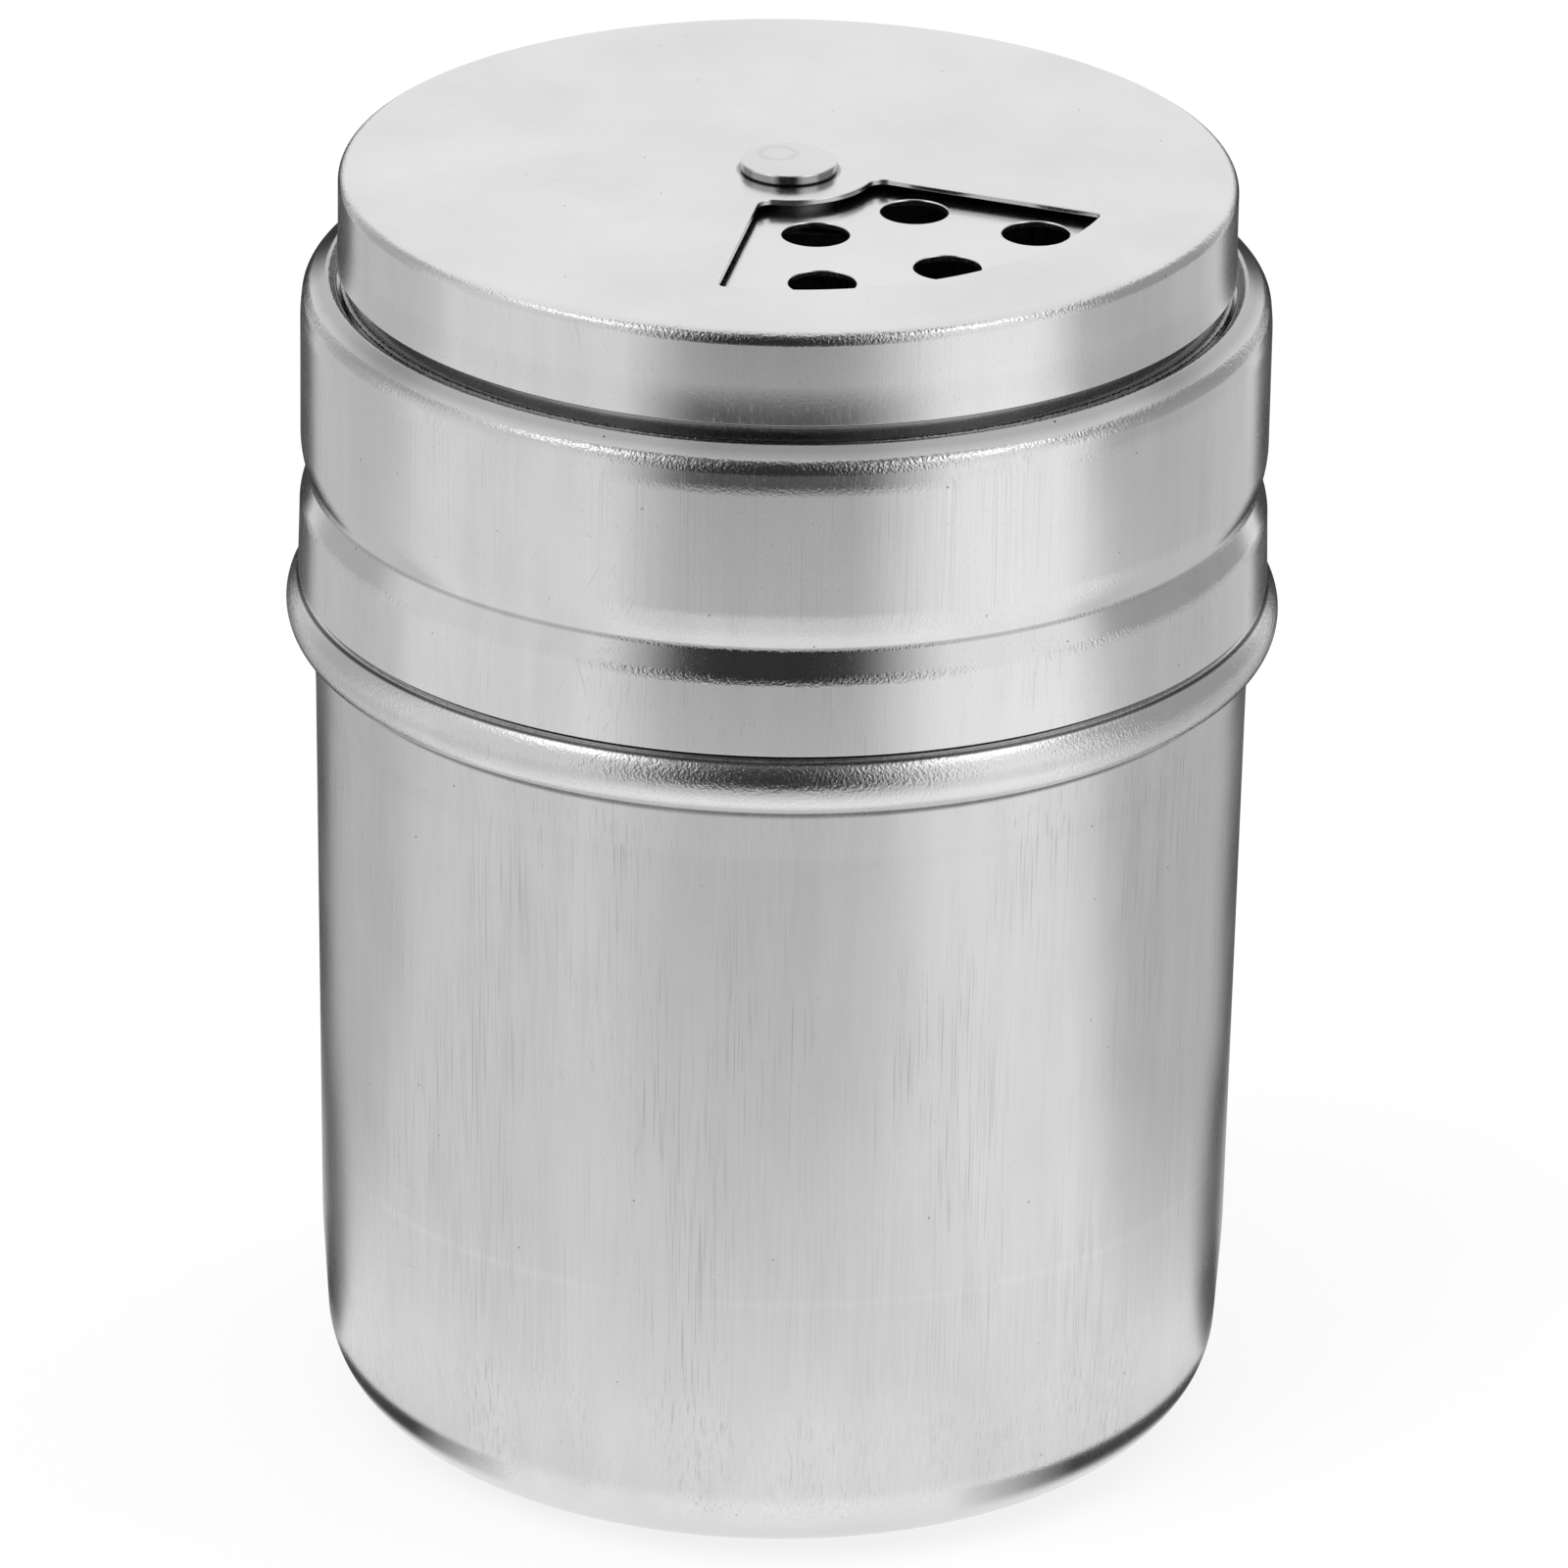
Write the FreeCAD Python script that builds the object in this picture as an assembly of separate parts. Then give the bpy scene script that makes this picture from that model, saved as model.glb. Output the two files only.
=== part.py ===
"""Stainless spice shaker: a drawn jar, a push-on lid collar with a perforated deck, and a turning dial cap.

Units are millimetres. +Z is up, the origin is the centre of the face that the jar stands on, and the
front of the object is -Y. Every pressed piece is one sheet of steel: its outer line is a path of straight
runs and bends, its inner line runs parallel at the sheet's thickness, and the section turns about Z.
"""

import FreeCAD, Part
import math
import os

# Jar: one deep-drawn cup with a swaged bead under a plain neck.
JAR_SHEET = 0.45
BODY_RADIUS = 31.0            # outside, just under the bead
BODY_DRAFT = 0.45             # how much narrower the wall is at the heel
HEEL_HEIGHT = 12.1            # below it the wall leans in a little more
HEEL_INSET = 0.74             # how far it would lean in down to the table
HEEL_BEND = 60.0
BASE_CORNER_RADIUS = 5.9      # outside bend between base and wall
BASE_PANEL_RADIUS = 18.0      # raised middle of the base, so that the jar stands on a ring
BASE_PANEL_RISE = 0.8
BASE_PANEL_SLOPE = 1.6        # width of the sloped ring round the panel
BASE_PANEL_BEND = 1.0
BEAD_HEIGHT = 57.2            # of its crest
BEAD_PROJECTION = 1.93        # how far the crest stands out of the wall
BEAD_RADIUS = 2.2             # round of the crest
BEAD_FLANK_DEG = 30.0         # slope of its flanks, above the horizontal
BEAD_ROOT_BEND = 0.8
NECK_RADIUS = 30.85
NECK_LENGTH = 14.0            # from the bead's crest to the rim

# Lid collar: one drawn piece, with a gripping groove, a shoulder, a riser and the perforated deck.
COLLAR_SHEET = 0.40
NECK_FIT = 0.15               # between the neck and the groove that grips it
LID_SEAT_GAP = 0.14           # between the bead's flank and the collar's lower edge
GROOVE_DEPTH = 0.57           # from the wide band down to the groove
GROOVE_UPPER_RUN = 1.9        # height of the slope above the groove
GROOVE_LOWER_RUN = 1.9        # height of the slope under it
GROOVE_BEND = 0.7
BAND_LOWER_BEND = 6.0         # long round at the foot of the wide band
SKIRT_UPPER_BEND = 1.6
SKIRT_STEP = 0.62             # from the groove out to the lower skirt
SKIRT_FLARE = 0.14            # how far the lower skirt opens towards its edge
GROOVE_HEIGHT = 7.0           # of the groove above the lower edge
SHOULDER_HEIGHT = 20.2        # of the ledge above the lower edge
SHOULDER_BEND = 1.7
RISER_RADIUS = 28.9           # outside of the raised deck's wall
RISER_HEIGHT = 7.02           # of the deck above the ledge
RISER_FOOT_BEND = 0.8
DECK_BEND = 1.2

# Dial cap: a shallow drawn cap over the riser, with one window.
CAP_SHEET = 0.35
CAP_SIDE_CLEARANCE = 0.25     # round the riser
CAP_DECK_GAP = 0.50           # between the deck and the cap's underside
CAP_SKIRT_GAP = 1.40          # between the ledge and the skirt's edge
CAP_BEND = 1.25

# Window in the cap: a ring sector whose straight sides meet behind the pivot.
WINDOW_MARGIN = 7.9           # from the cap's outside to the window's outer arc
WINDOW_HUB_RADIUS = 5.65      # web that the window leaves round the rivet
WINDOW_HALF_DEG = 38.9
WINDOW_SETBACK = 1.45         # how far behind the pivot the sides meet
WINDOW_CORNER_RADIUS = 0.6
WINDOW_DIRECTION_DEG = -60.6  # where its middle points at rest

# Deck: four stations, a quarter turn apart: large holes, small holes, one pouring mouth, and closed.
STATIONS = 4
FIRST_STATION_DEG = -55.7     # middle of the large holes
LARGE_HOLE_RADIUS = 2.2
LARGE_OUTER_COUNT = 3
LARGE_OUTER_PITCH = 8.6
LARGE_INNER_COUNT = 2
LARGE_INNER_PITCH = 7.75
LARGE_OUTER_INSET = 1.1       # from the window's outer arc to the nearest hole's edge
LARGE_INNER_INSET = 1.85      # from the window's hub to the nearest hole's edge
SMALL_HOLE_RADIUS = 1.1
SMALL_HOLE_PITCH = 4.4
SMALL_ROW_COUNTS = (3, 4, 5)  # holes in each row, from the hub outwards
SMALL_ROW_INSET = 2.0         # from the window's arcs to the nearest small hole's edge
MOUTH_INSET = 2.0             # from the window's arcs and sides to the pouring mouth
MOUTH_CORNER_RADIUS = 2.0

# Pivot: a headed rivet, a spacer washer on the deck and a cupped spring washer under it.
RIVET_SHANK_RADIUS = 1.5
RIVET_HEAD_RADIUS = 3.16
RIVET_HEAD_THICKNESS = 0.62
RIVET_HEAD_DOME = 0.10
RIVET_HEAD_EDGE = 0.2
RIVET_TAIL_RADIUS = 2.7
RIVET_TAIL_THICKNESS = 0.9
RIVET_TAIL_EDGE = 0.4
PIVOT_CLEARANCE = 0.06        # round the shank in the turning cap
SHANK_FIT = 0.03              # round the shank in the pieces that stay with it
FACE_CLEARANCE = 0.04         # between faces that slide on each other
STACK_FIT = 0.02              # between stacked pieces that stay together
SPACER_RADIUS = 3.4
SPRING_RADIUS = 4.6
SPRING_SHEET = 0.25
SPRING_RISE = 0.5

# Sizes that follow from those above.
HEEL_RADIUS = BODY_RADIUS - BODY_DRAFT
BEAD_SLOPE = math.tan(math.radians(BEAD_FLANK_DEG))
BEAD_TIP_BEYOND_CREST = BEAD_RADIUS * (1.0 / math.sin(math.radians(BEAD_FLANK_DEG)) - 1.0)
BEAD_TIP_RADIUS = BODY_RADIUS + BEAD_PROJECTION + BEAD_TIP_BEYOND_CREST
RIM_Z = BEAD_HEIGHT + NECK_LENGTH

GROOVE_RADIUS = NECK_RADIUS + NECK_FIT + COLLAR_SHEET
BAND_RADIUS = GROOVE_RADIUS + GROOVE_DEPTH
SKIRT_RADIUS = GROOVE_RADIUS + SKIRT_STEP
SKIRT_EDGE_RADIUS = SKIRT_RADIUS + SKIRT_FLARE
SKIRT_EDGE_INNER_RADIUS = SKIRT_EDGE_RADIUS - COLLAR_SHEET
LID_EDGE_Z = BEAD_HEIGHT + (BEAD_TIP_RADIUS - SKIRT_EDGE_INNER_RADIUS) * BEAD_SLOPE + LID_SEAT_GAP
GROOVE_Z = LID_EDGE_Z + GROOVE_HEIGHT
LEDGE_Z = LID_EDGE_Z + SHOULDER_HEIGHT
DECK_Z = LEDGE_Z + RISER_HEIGHT

CAP_INNER_RADIUS = RISER_RADIUS + CAP_SIDE_CLEARANCE
CAP_RADIUS = CAP_INNER_RADIUS + CAP_SHEET
CAP_UNDER_Z = DECK_Z + CAP_DECK_GAP
CAP_TOP_Z = CAP_UNDER_Z + CAP_SHEET
CAP_EDGE_Z = LEDGE_Z + CAP_SKIRT_GAP
WINDOW_OUTER_RADIUS = CAP_RADIUS - WINDOW_MARGIN

DECK_UNDER_Z = DECK_Z - COLLAR_SHEET
SPRING_TOP_Z = DECK_UNDER_Z - STACK_FIT
SPRING_FOOT_Z = SPRING_TOP_Z - SPRING_RISE - SPRING_SHEET
TAIL_TOP_Z = SPRING_FOOT_Z - STACK_FIT
HEAD_SEAT_Z = CAP_TOP_Z + FACE_CLEARANCE
STATION_STEP_DEG = 360.0 / STATIONS

AXIS_START = FreeCAD.Vector(0, 0, 0)
AXIS_UP = FreeCAD.Vector(0, 0, 1)
CUT_REACH = 2.0               # how far a punch reaches past both faces


def point(radius, height):
    """A point of a turned section, in the XZ plane."""
    return FreeCAD.Vector(radius, 0, height)


def polar(radius, degrees, height=0.0):
    """A point at a radius and an angle from +X, at a height."""
    angle = math.radians(degrees)
    return FreeCAD.Vector(radius * math.cos(angle), radius * math.sin(angle), height)


def line_crossing(a, along_a, b, along_b):
    """Where two lines of the XZ plane cross, each given by a point and a direction."""
    cross = along_a.x * along_b.z - along_a.z * along_b.x
    gap = b - a
    return a + along_a * ((gap.x * along_b.z - gap.z * along_b.x) / cross)


def parallel_path(corners, distance):
    """The path beside corners, at a distance to the left of its direction, with each bend kept concentric.

    A corner is (radius, height, bend). A bend towards the left gets tighter by the distance, and a bend
    towards the right gets wider by it.
    """
    places = [point(c[0], c[1]) for c in corners]
    runs = [(b - a).normalize() for a, b in zip(places, places[1:])]
    sides = [FreeCAD.Vector(-run.z, 0, run.x) * distance for run in runs]
    beside = [places[0] + sides[0]]
    for k in range(1, len(places) - 1):
        beside.append(line_crossing(places[k] + sides[k - 1], runs[k - 1], places[k] + sides[k], runs[k]))
    beside.append(places[-1] + sides[-1])
    bends = [0.0]
    for k in range(1, len(places) - 1):
        turns_left = runs[k - 1].x * runs[k].z - runs[k - 1].z * runs[k].x > 0
        bend = corners[k][2]
        bends.append(bend - distance if turns_left == (distance > 0) else bend + abs(distance))
    bends.append(0.0)
    return [(p.x, p.z, bend) for p, bend in zip(beside, bends)]


def path_edges(corners):
    """Straight runs joined by tangent arcs through corners, each (radius, height, bend)."""
    places = [point(c[0], c[1]) for c in corners]
    edges = []
    start = places[0]
    for k in range(1, len(places) - 1):
        into = (places[k] - places[k - 1]).normalize()
        out = (places[k + 1] - places[k]).normalize()
        turn = into.getAngle(out)
        reach = corners[k][2] * math.tan(turn / 2.0)
        first = places[k] - into * reach
        last = places[k] + out * reach
        middle_way = (out - into).normalize()
        sag = corners[k][2] * (1.0 / math.cos(turn / 2.0) - 1.0)
        edges.append(Part.makeLine(start, first))
        edges.append(Part.Arc(first, places[k] + middle_way * sag, last).toShape())
        start = last
    edges.append(Part.makeLine(start, places[-1]))
    return edges


def turned_sheet(corners, thickness):
    """A sheet turned about Z: corners are its outer line, and thickness lies to the left of it."""
    beside = parallel_path(corners, thickness)
    edges = path_edges(corners) + path_edges(beside)
    edges += [Part.makeLine(point(*corners[k][:2]), point(*beside[k][:2])) for k in (0, -1)]
    return Part.Face(Part.Wire(Part.__sortEdges__(edges))).revolve(AXIS_START, AXIS_UP, 360)


def turned_section(places):
    """A solid turned about Z from a closed section of (radius, height) corners."""
    wire = Part.makePolygon([point(r, z) for r, z in places] + [point(*places[0])])
    return Part.Face(wire).revolve(AXIS_START, AXIS_UP, 360)


def side_crossing(radius, setback, half_deg):
    """Angle, from the window's middle, at which a straight side crosses an arc about the pivot."""
    return half_deg - math.degrees(math.asin(setback * math.sin(math.radians(half_deg)) / radius))


def sector_punch(inner, outer, half_deg, setback, corner, middle_deg, low, high):
    """A punch for a ring sector: two arcs about the pivot and two straight sides, with rounded corners.

    The sides meet a setback behind the pivot, half_deg to each side of middle_deg.
    """
    inner_deg = side_crossing(inner, setback, half_deg)
    outer_deg = side_crossing(outer, setback, half_deg)
    a, b = polar(inner, middle_deg - inner_deg, low), polar(outer, middle_deg - outer_deg, low)
    c, d = polar(outer, middle_deg + outer_deg, low), polar(inner, middle_deg + inner_deg, low)
    edges = [Part.makeLine(a, b), Part.Arc(b, polar(outer, middle_deg, low), c).toShape(),
             Part.makeLine(c, d), Part.Arc(d, polar(inner, middle_deg, low), a).toShape()]
    solid = Part.Face(Part.Wire(edges)).extrude(AXIS_UP * (high - low))
    upright = [e for e in solid.Edges if abs(e.tangentAt(e.FirstParameter).z) > 0.99]
    return solid.makeFillet(corner, upright)


def hole_row(radius, hole_radius, pitch, count, middle_deg, low, high):
    """Punches for a row of round holes on an arc, a chord of one pitch apart, about middle_deg."""
    step = 2.0 * math.degrees(math.asin(pitch / 2.0 / radius))
    first = middle_deg - step * (count - 1) / 2.0
    return [Part.makeCylinder(hole_radius, high - low, polar(radius, first + step * k, low))
            for k in range(count)]


def make_jar():
    """The drawn cup: base panel, base corner, drafted wall, bead and neck."""
    wall_top = BEAD_HEIGHT - (BEAD_TIP_RADIUS - BODY_RADIUS) * BEAD_SLOPE
    neck_foot = BEAD_HEIGHT + (BEAD_TIP_RADIUS - NECK_RADIUS) * BEAD_SLOPE
    outer_line = [
        (0.0, BASE_PANEL_RISE, 0.0),
        (BASE_PANEL_RADIUS, BASE_PANEL_RISE, BASE_PANEL_BEND),
        (BASE_PANEL_RADIUS + BASE_PANEL_SLOPE, 0.0, BASE_PANEL_BEND + JAR_SHEET),
        (HEEL_RADIUS - HEEL_INSET, 0.0, BASE_CORNER_RADIUS),
        (HEEL_RADIUS, HEEL_HEIGHT, HEEL_BEND),
        (BODY_RADIUS, wall_top, BEAD_ROOT_BEND),
        (BEAD_TIP_RADIUS, BEAD_HEIGHT, BEAD_RADIUS),
        (NECK_RADIUS, neck_foot, BEAD_ROOT_BEND),
        (NECK_RADIUS, RIM_Z, 0.0),
    ]
    return turned_sheet(outer_line, JAR_SHEET)


def large_hole_punches(middle_deg, low, high):
    """Two rows of large shaking holes."""
    outer_row = WINDOW_OUTER_RADIUS - LARGE_OUTER_INSET - LARGE_HOLE_RADIUS
    inner_row = WINDOW_HUB_RADIUS + LARGE_INNER_INSET + LARGE_HOLE_RADIUS
    return (hole_row(outer_row, LARGE_HOLE_RADIUS, LARGE_OUTER_PITCH, LARGE_OUTER_COUNT,
                     middle_deg, low, high)
            + hole_row(inner_row, LARGE_HOLE_RADIUS, LARGE_INNER_PITCH, LARGE_INNER_COUNT,
                       middle_deg, low, high))


def small_hole_punches(middle_deg, low, high):
    """Rows of small shaking holes, evenly spaced from the hub outwards."""
    first = WINDOW_HUB_RADIUS + SMALL_ROW_INSET + SMALL_HOLE_RADIUS
    last = WINDOW_OUTER_RADIUS - SMALL_ROW_INSET - SMALL_HOLE_RADIUS
    step = (last - first) / (len(SMALL_ROW_COUNTS) - 1)
    punches = []
    for row, count in enumerate(SMALL_ROW_COUNTS):
        punches += hole_row(first + step * row, SMALL_HOLE_RADIUS, SMALL_HOLE_PITCH, count,
                            middle_deg, low, high)
    return punches


def mouth_punch(middle_deg, low, high):
    """The pouring mouth: a sector inside the window's outline by the same margin all round."""
    setback = WINDOW_SETBACK - MOUTH_INSET / math.sin(math.radians(WINDOW_HALF_DEG))
    return sector_punch(WINDOW_HUB_RADIUS + MOUTH_INSET, WINDOW_OUTER_RADIUS - MOUTH_INSET,
                        WINDOW_HALF_DEG, setback, MOUTH_CORNER_RADIUS, middle_deg, low, high)


def make_lid_collar():
    """The drawn collar: deck, riser, ledge, shoulder, wide band, gripping groove and skirt."""
    outer_line = [
        (0.0, DECK_Z, 0.0),
        (RISER_RADIUS, DECK_Z, DECK_BEND),
        (RISER_RADIUS, LEDGE_Z, RISER_FOOT_BEND),
        (BAND_RADIUS, LEDGE_Z, SHOULDER_BEND),
        (BAND_RADIUS, GROOVE_Z + GROOVE_UPPER_RUN, BAND_LOWER_BEND),
        (GROOVE_RADIUS, GROOVE_Z, GROOVE_BEND),
        (SKIRT_RADIUS, GROOVE_Z - GROOVE_LOWER_RUN, SKIRT_UPPER_BEND),
        (SKIRT_EDGE_RADIUS, LID_EDGE_Z, 0.0),
    ]
    collar = turned_sheet(outer_line, -COLLAR_SHEET)
    low, high = DECK_UNDER_Z - CUT_REACH, DECK_Z + CUT_REACH
    punches = [Part.makeCylinder(RIVET_SHANK_RADIUS + SHANK_FIT, high - low, point(0, low))]
    punches += large_hole_punches(FIRST_STATION_DEG, low, high)
    punches += small_hole_punches(FIRST_STATION_DEG + STATION_STEP_DEG, low, high)
    punches.append(mouth_punch(FIRST_STATION_DEG + 2 * STATION_STEP_DEG, low, high))
    return collar.cut(punches)


def make_dial_cap():
    """The turning cap: flat top, bend and skirt, with its window and the rivet's hole."""
    outer_line = [
        (0.0, CAP_TOP_Z, 0.0),
        (CAP_RADIUS, CAP_TOP_Z, CAP_BEND),
        (CAP_RADIUS, CAP_EDGE_Z, 0.0),
    ]
    cap = turned_sheet(outer_line, -CAP_SHEET)
    low, high = CAP_UNDER_Z - CUT_REACH, CAP_TOP_Z + CUT_REACH
    window = sector_punch(WINDOW_HUB_RADIUS, WINDOW_OUTER_RADIUS, WINDOW_HALF_DEG, WINDOW_SETBACK,
                          WINDOW_CORNER_RADIUS, WINDOW_DIRECTION_DEG, low, high)
    pivot = Part.makeCylinder(RIVET_SHANK_RADIUS + PIVOT_CLEARANCE, high - low, point(0, low))
    return cap.cut([window, pivot])


def make_rivet():
    """The pivot rivet: low domed head, shank and upset tail, as one turned piece."""
    head_top = HEAD_SEAT_Z + RIVET_HEAD_THICKNESS
    tail_foot = TAIL_TOP_Z - RIVET_TAIL_THICKNESS
    crown = point(0, head_top + RIVET_HEAD_DOME)
    dome_rim = point(RIVET_HEAD_RADIUS - RIVET_HEAD_EDGE, head_top)
    head_side = point(RIVET_HEAD_RADIUS, head_top - RIVET_HEAD_EDGE)
    half_way = point((RIVET_HEAD_RADIUS - RIVET_HEAD_EDGE) / 2.0, head_top + RIVET_HEAD_DOME * 0.75)
    edge_swing = RIVET_HEAD_EDGE * math.sin(math.radians(45))
    edge_middle = point(RIVET_HEAD_RADIUS - RIVET_HEAD_EDGE + edge_swing,
                        head_top - RIVET_HEAD_EDGE + edge_swing)
    tail_swing = RIVET_TAIL_EDGE * math.sin(math.radians(45))
    tail_middle = point(RIVET_TAIL_RADIUS - RIVET_TAIL_EDGE + tail_swing,
                        tail_foot + RIVET_TAIL_EDGE - tail_swing)
    corners = [head_side, point(RIVET_HEAD_RADIUS, HEAD_SEAT_Z), point(RIVET_SHANK_RADIUS, HEAD_SEAT_Z),
               point(RIVET_SHANK_RADIUS, TAIL_TOP_Z), point(RIVET_TAIL_RADIUS, TAIL_TOP_Z),
               point(RIVET_TAIL_RADIUS, tail_foot + RIVET_TAIL_EDGE)]
    tail_rim = point(RIVET_TAIL_RADIUS - RIVET_TAIL_EDGE, tail_foot)
    foot = point(0, tail_foot)
    edges = [Part.Arc(crown, half_way, dome_rim).toShape(),
             Part.Arc(dome_rim, edge_middle, head_side).toShape()]
    edges += [Part.makeLine(a, b) for a, b in zip(corners, corners[1:])]
    edges += [Part.Arc(corners[-1], tail_middle, tail_rim).toShape(), Part.makeLine(tail_rim, foot),
              Part.makeLine(foot, crown)]
    return Part.Face(Part.Wire(edges)).revolve(AXIS_START, AXIS_UP, 360)


def make_spacer_washer():
    """The flat washer that holds the cap's underside off the deck."""
    bore = RIVET_SHANK_RADIUS + SHANK_FIT
    top = CAP_UNDER_Z - FACE_CLEARANCE
    return turned_section([(bore, DECK_Z), (SPACER_RADIUS, DECK_Z), (SPACER_RADIUS, top), (bore, top)])


def make_spring_washer():
    """The cupped washer under the deck: its rim bears on the deck and its bore on the rivet's tail."""
    bore = RIVET_SHANK_RADIUS + SHANK_FIT
    return turned_section([(bore, SPRING_FOOT_Z), (SPRING_RADIUS, SPRING_TOP_Z - SPRING_SHEET),
                           (SPRING_RADIUS, SPRING_TOP_Z), (bore, SPRING_FOOT_Z + SPRING_SHEET)])


PIECES = {
    "jar": make_jar,
    "lid_collar": make_lid_collar,
    "dial_cap": make_dial_cap,
    "pivot_rivet": make_rivet,
    "spacer_washer": make_spacer_washer,
    "spring_washer": make_spring_washer,
}


def main():
    """Build every piece and write it to parts/NAME.step."""
    os.makedirs("parts", exist_ok=True)
    for name, make in PIECES.items():
        shape = make()
        shape.exportStep(os.path.join("parts", name + ".step"))
        box = shape.optimalBoundingBox()
        print(name, "valid", shape.isValid(), "solids", len(shape.Solids), "volume", round(shape.Volume, 1),
              "radius", round(box.XMax, 2), "z", round(box.ZMin, 2), "to", round(box.ZMax, 2))


main()
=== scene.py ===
"""Looks of a stainless spice shaker: drawn jar, push-on lid collar, turning dial cap and its rivet.

Sizes in the classes are millimetres, as a maker's drawing gives them, and become metres when a mesh is
made. Every pressed piece is one sheet of steel: a section of straight runs and bends, turned about the
upright axis, with its punched holes cut through a flat plate that joins the section's inner rings.
"""

from __future__ import annotations

import logging
import math
from dataclasses import dataclass, field, replace
from enum import Enum

import bpy
import numpy as np
from mathutils import Matrix, Vector
from mathutils.geometry import delaunay_2d_cdt


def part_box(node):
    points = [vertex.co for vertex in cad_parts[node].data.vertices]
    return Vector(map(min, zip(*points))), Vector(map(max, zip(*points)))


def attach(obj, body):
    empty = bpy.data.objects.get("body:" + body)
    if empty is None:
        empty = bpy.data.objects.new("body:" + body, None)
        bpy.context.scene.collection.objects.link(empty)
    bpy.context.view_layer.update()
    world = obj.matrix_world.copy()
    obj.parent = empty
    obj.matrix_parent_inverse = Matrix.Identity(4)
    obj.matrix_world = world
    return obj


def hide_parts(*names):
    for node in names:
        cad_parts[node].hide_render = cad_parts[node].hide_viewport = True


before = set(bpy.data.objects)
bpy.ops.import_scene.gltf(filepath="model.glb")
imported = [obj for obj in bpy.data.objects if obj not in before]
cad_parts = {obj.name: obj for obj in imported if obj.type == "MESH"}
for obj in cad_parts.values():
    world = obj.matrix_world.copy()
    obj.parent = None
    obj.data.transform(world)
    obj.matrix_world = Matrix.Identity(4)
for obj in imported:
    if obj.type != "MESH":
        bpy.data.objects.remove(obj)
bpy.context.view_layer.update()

MM = 0.001
MICROMETRE = 1e-6
AROUND = 288            # steps round the axis of every turned piece
LEAST_STEP = 1e-6       # places closer than this, in millimetres, are the same place
ARC_STEP = 0.09         # longest step along a tight bend, in millimetres
ARC_TURN = 0.05         # turn of a step along a wide bend, in radians
RUN_STEP = 2.5          # longest step along a straight run, in millimetres
LEAST_ARC_STEPS = 5
BEND_MARK = "bend"      # attribute: 1 on a tight bend, 0 on a straight run
CREASE_SHADE_MARK = "crease"  # attribute: 1 in the middle of a tight inward bend, where painted shade darkens the metal
WALL_MARK = "wall"      # attribute: 1 on an upright wall
STREAK_MARK = "streak"  # attribute: 1 where the brushing reaches, which is a little past the walls
TIGHT_BEND = 2.5        # bends up to this radius are tight, in millimetres
LEAST_BEND = 0.28       # a smaller round is a trimmed edge, and carries no bend mark
EDGE_BREAK = 0.07       # round of a trimmed sheet edge
WALL_TILT = (2.0, 16.0)     # a wall ends between these tilts, in degrees
STREAK_TILT = (14.0, 38.0)  # the brushing ends between these tilts
LOG = logging.getLogger("shaker")


# Sections and turned surfaces


@dataclass(frozen=True)
class Corner:
    """A corner of a sheet's section: its radius from the axis, its height and the bend that rounds it."""

    radius: float
    height: float
    bend: float = 0.0


@dataclass
class Surface:
    """A mesh in the making: points in millimetres, unit normals, bend marks and crease shade marks, rows of
    faces.
    """

    points: np.ndarray
    normals: np.ndarray
    marks: np.ndarray
    faces: list[np.ndarray] = field(default_factory=list)

    def add(self, points: np.ndarray, normals: np.ndarray, marks: tuple[float, float] = (0.0, 0.0)) -> int:
        """Append points.

        Args:
            points: (n, 3) places.
            normals: (n, 3) unit normals.
            marks: Their bend mark and crease shade mark, which places painted shade.

        Returns:
            The index of the first new point.
        """
        first = len(self.points)
        self.points = np.vstack([self.points, points])
        self.normals = np.vstack([self.normals, normals])
        self.marks = np.vstack([self.marks, np.tile(marks, (len(points), 1))])
        return first

    def upright(self, tilts: tuple[float, float]) -> np.ndarray:
        """1 where the surface is upright, easing to 0 between two tilts.

        Args:
            tilts: The tilts in degrees at which the easing starts and ends.

        Returns:
            (n,) shares.
        """
        tilt = np.degrees(np.arcsin(np.abs(np.clip(self.normals[:, 2], -1.0, 1.0))))
        share = np.clip((tilt - tilts[0]) / (tilts[1] - tilts[0]), 0.0, 1.0)
        return 1.0 - share * share * (3.0 - 2.0 * share)

    @classmethod
    def empty(cls) -> Surface:
        """A surface with no points."""
        return cls(np.zeros((0, 3)), np.zeros((0, 3)), np.zeros((0, 2)))

    def to_object(self, name: str) -> bpy.types.Object:
        """Make the Blender object, with smooth faces and the exact normals of the worked-out surface.

        Args:
            name: The piece's name.

        Returns:
            The linked object, at the origin, in metres.
        """
        mesh = bpy.data.meshes.new(name)
        faces = [row for block in self.faces for row in block.tolist()]
        mesh.from_pydata((self.points * MM).tolist(), [], faces)
        mesh.polygons.foreach_set("use_smooth", np.ones(len(mesh.polygons), bool))
        mesh.normals_split_custom_set_from_vertices(self.normals.tolist())
        marks = {BEND_MARK: self.marks[:, 0], CREASE_SHADE_MARK: self.marks[:, 1],
                 WALL_MARK: self.upright(WALL_TILT), STREAK_MARK: self.upright(STREAK_TILT)}
        for mark, values in marks.items():
            held = mesh.attributes.new(mark, "FLOAT", "POINT")
            held.data.foreach_set("value", values.astype(np.float32))
        mesh.update()
        return add_object(name, mesh)


def add_object(name: str, data: bpy.types.ID) -> bpy.types.Object:
    """A new object in the scene that shows a mesh, lamp or camera.

    Args:
        name: Its name.
        data: What it shows.

    Returns:
        The object, at the origin.
    """
    made = bpy.data.objects.new(name, data)
    bpy.context.scene.collection.objects.link(made)
    return made


def unit(vector: np.ndarray) -> np.ndarray:
    """The vector at length one."""
    return vector / np.linalg.norm(vector)


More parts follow.
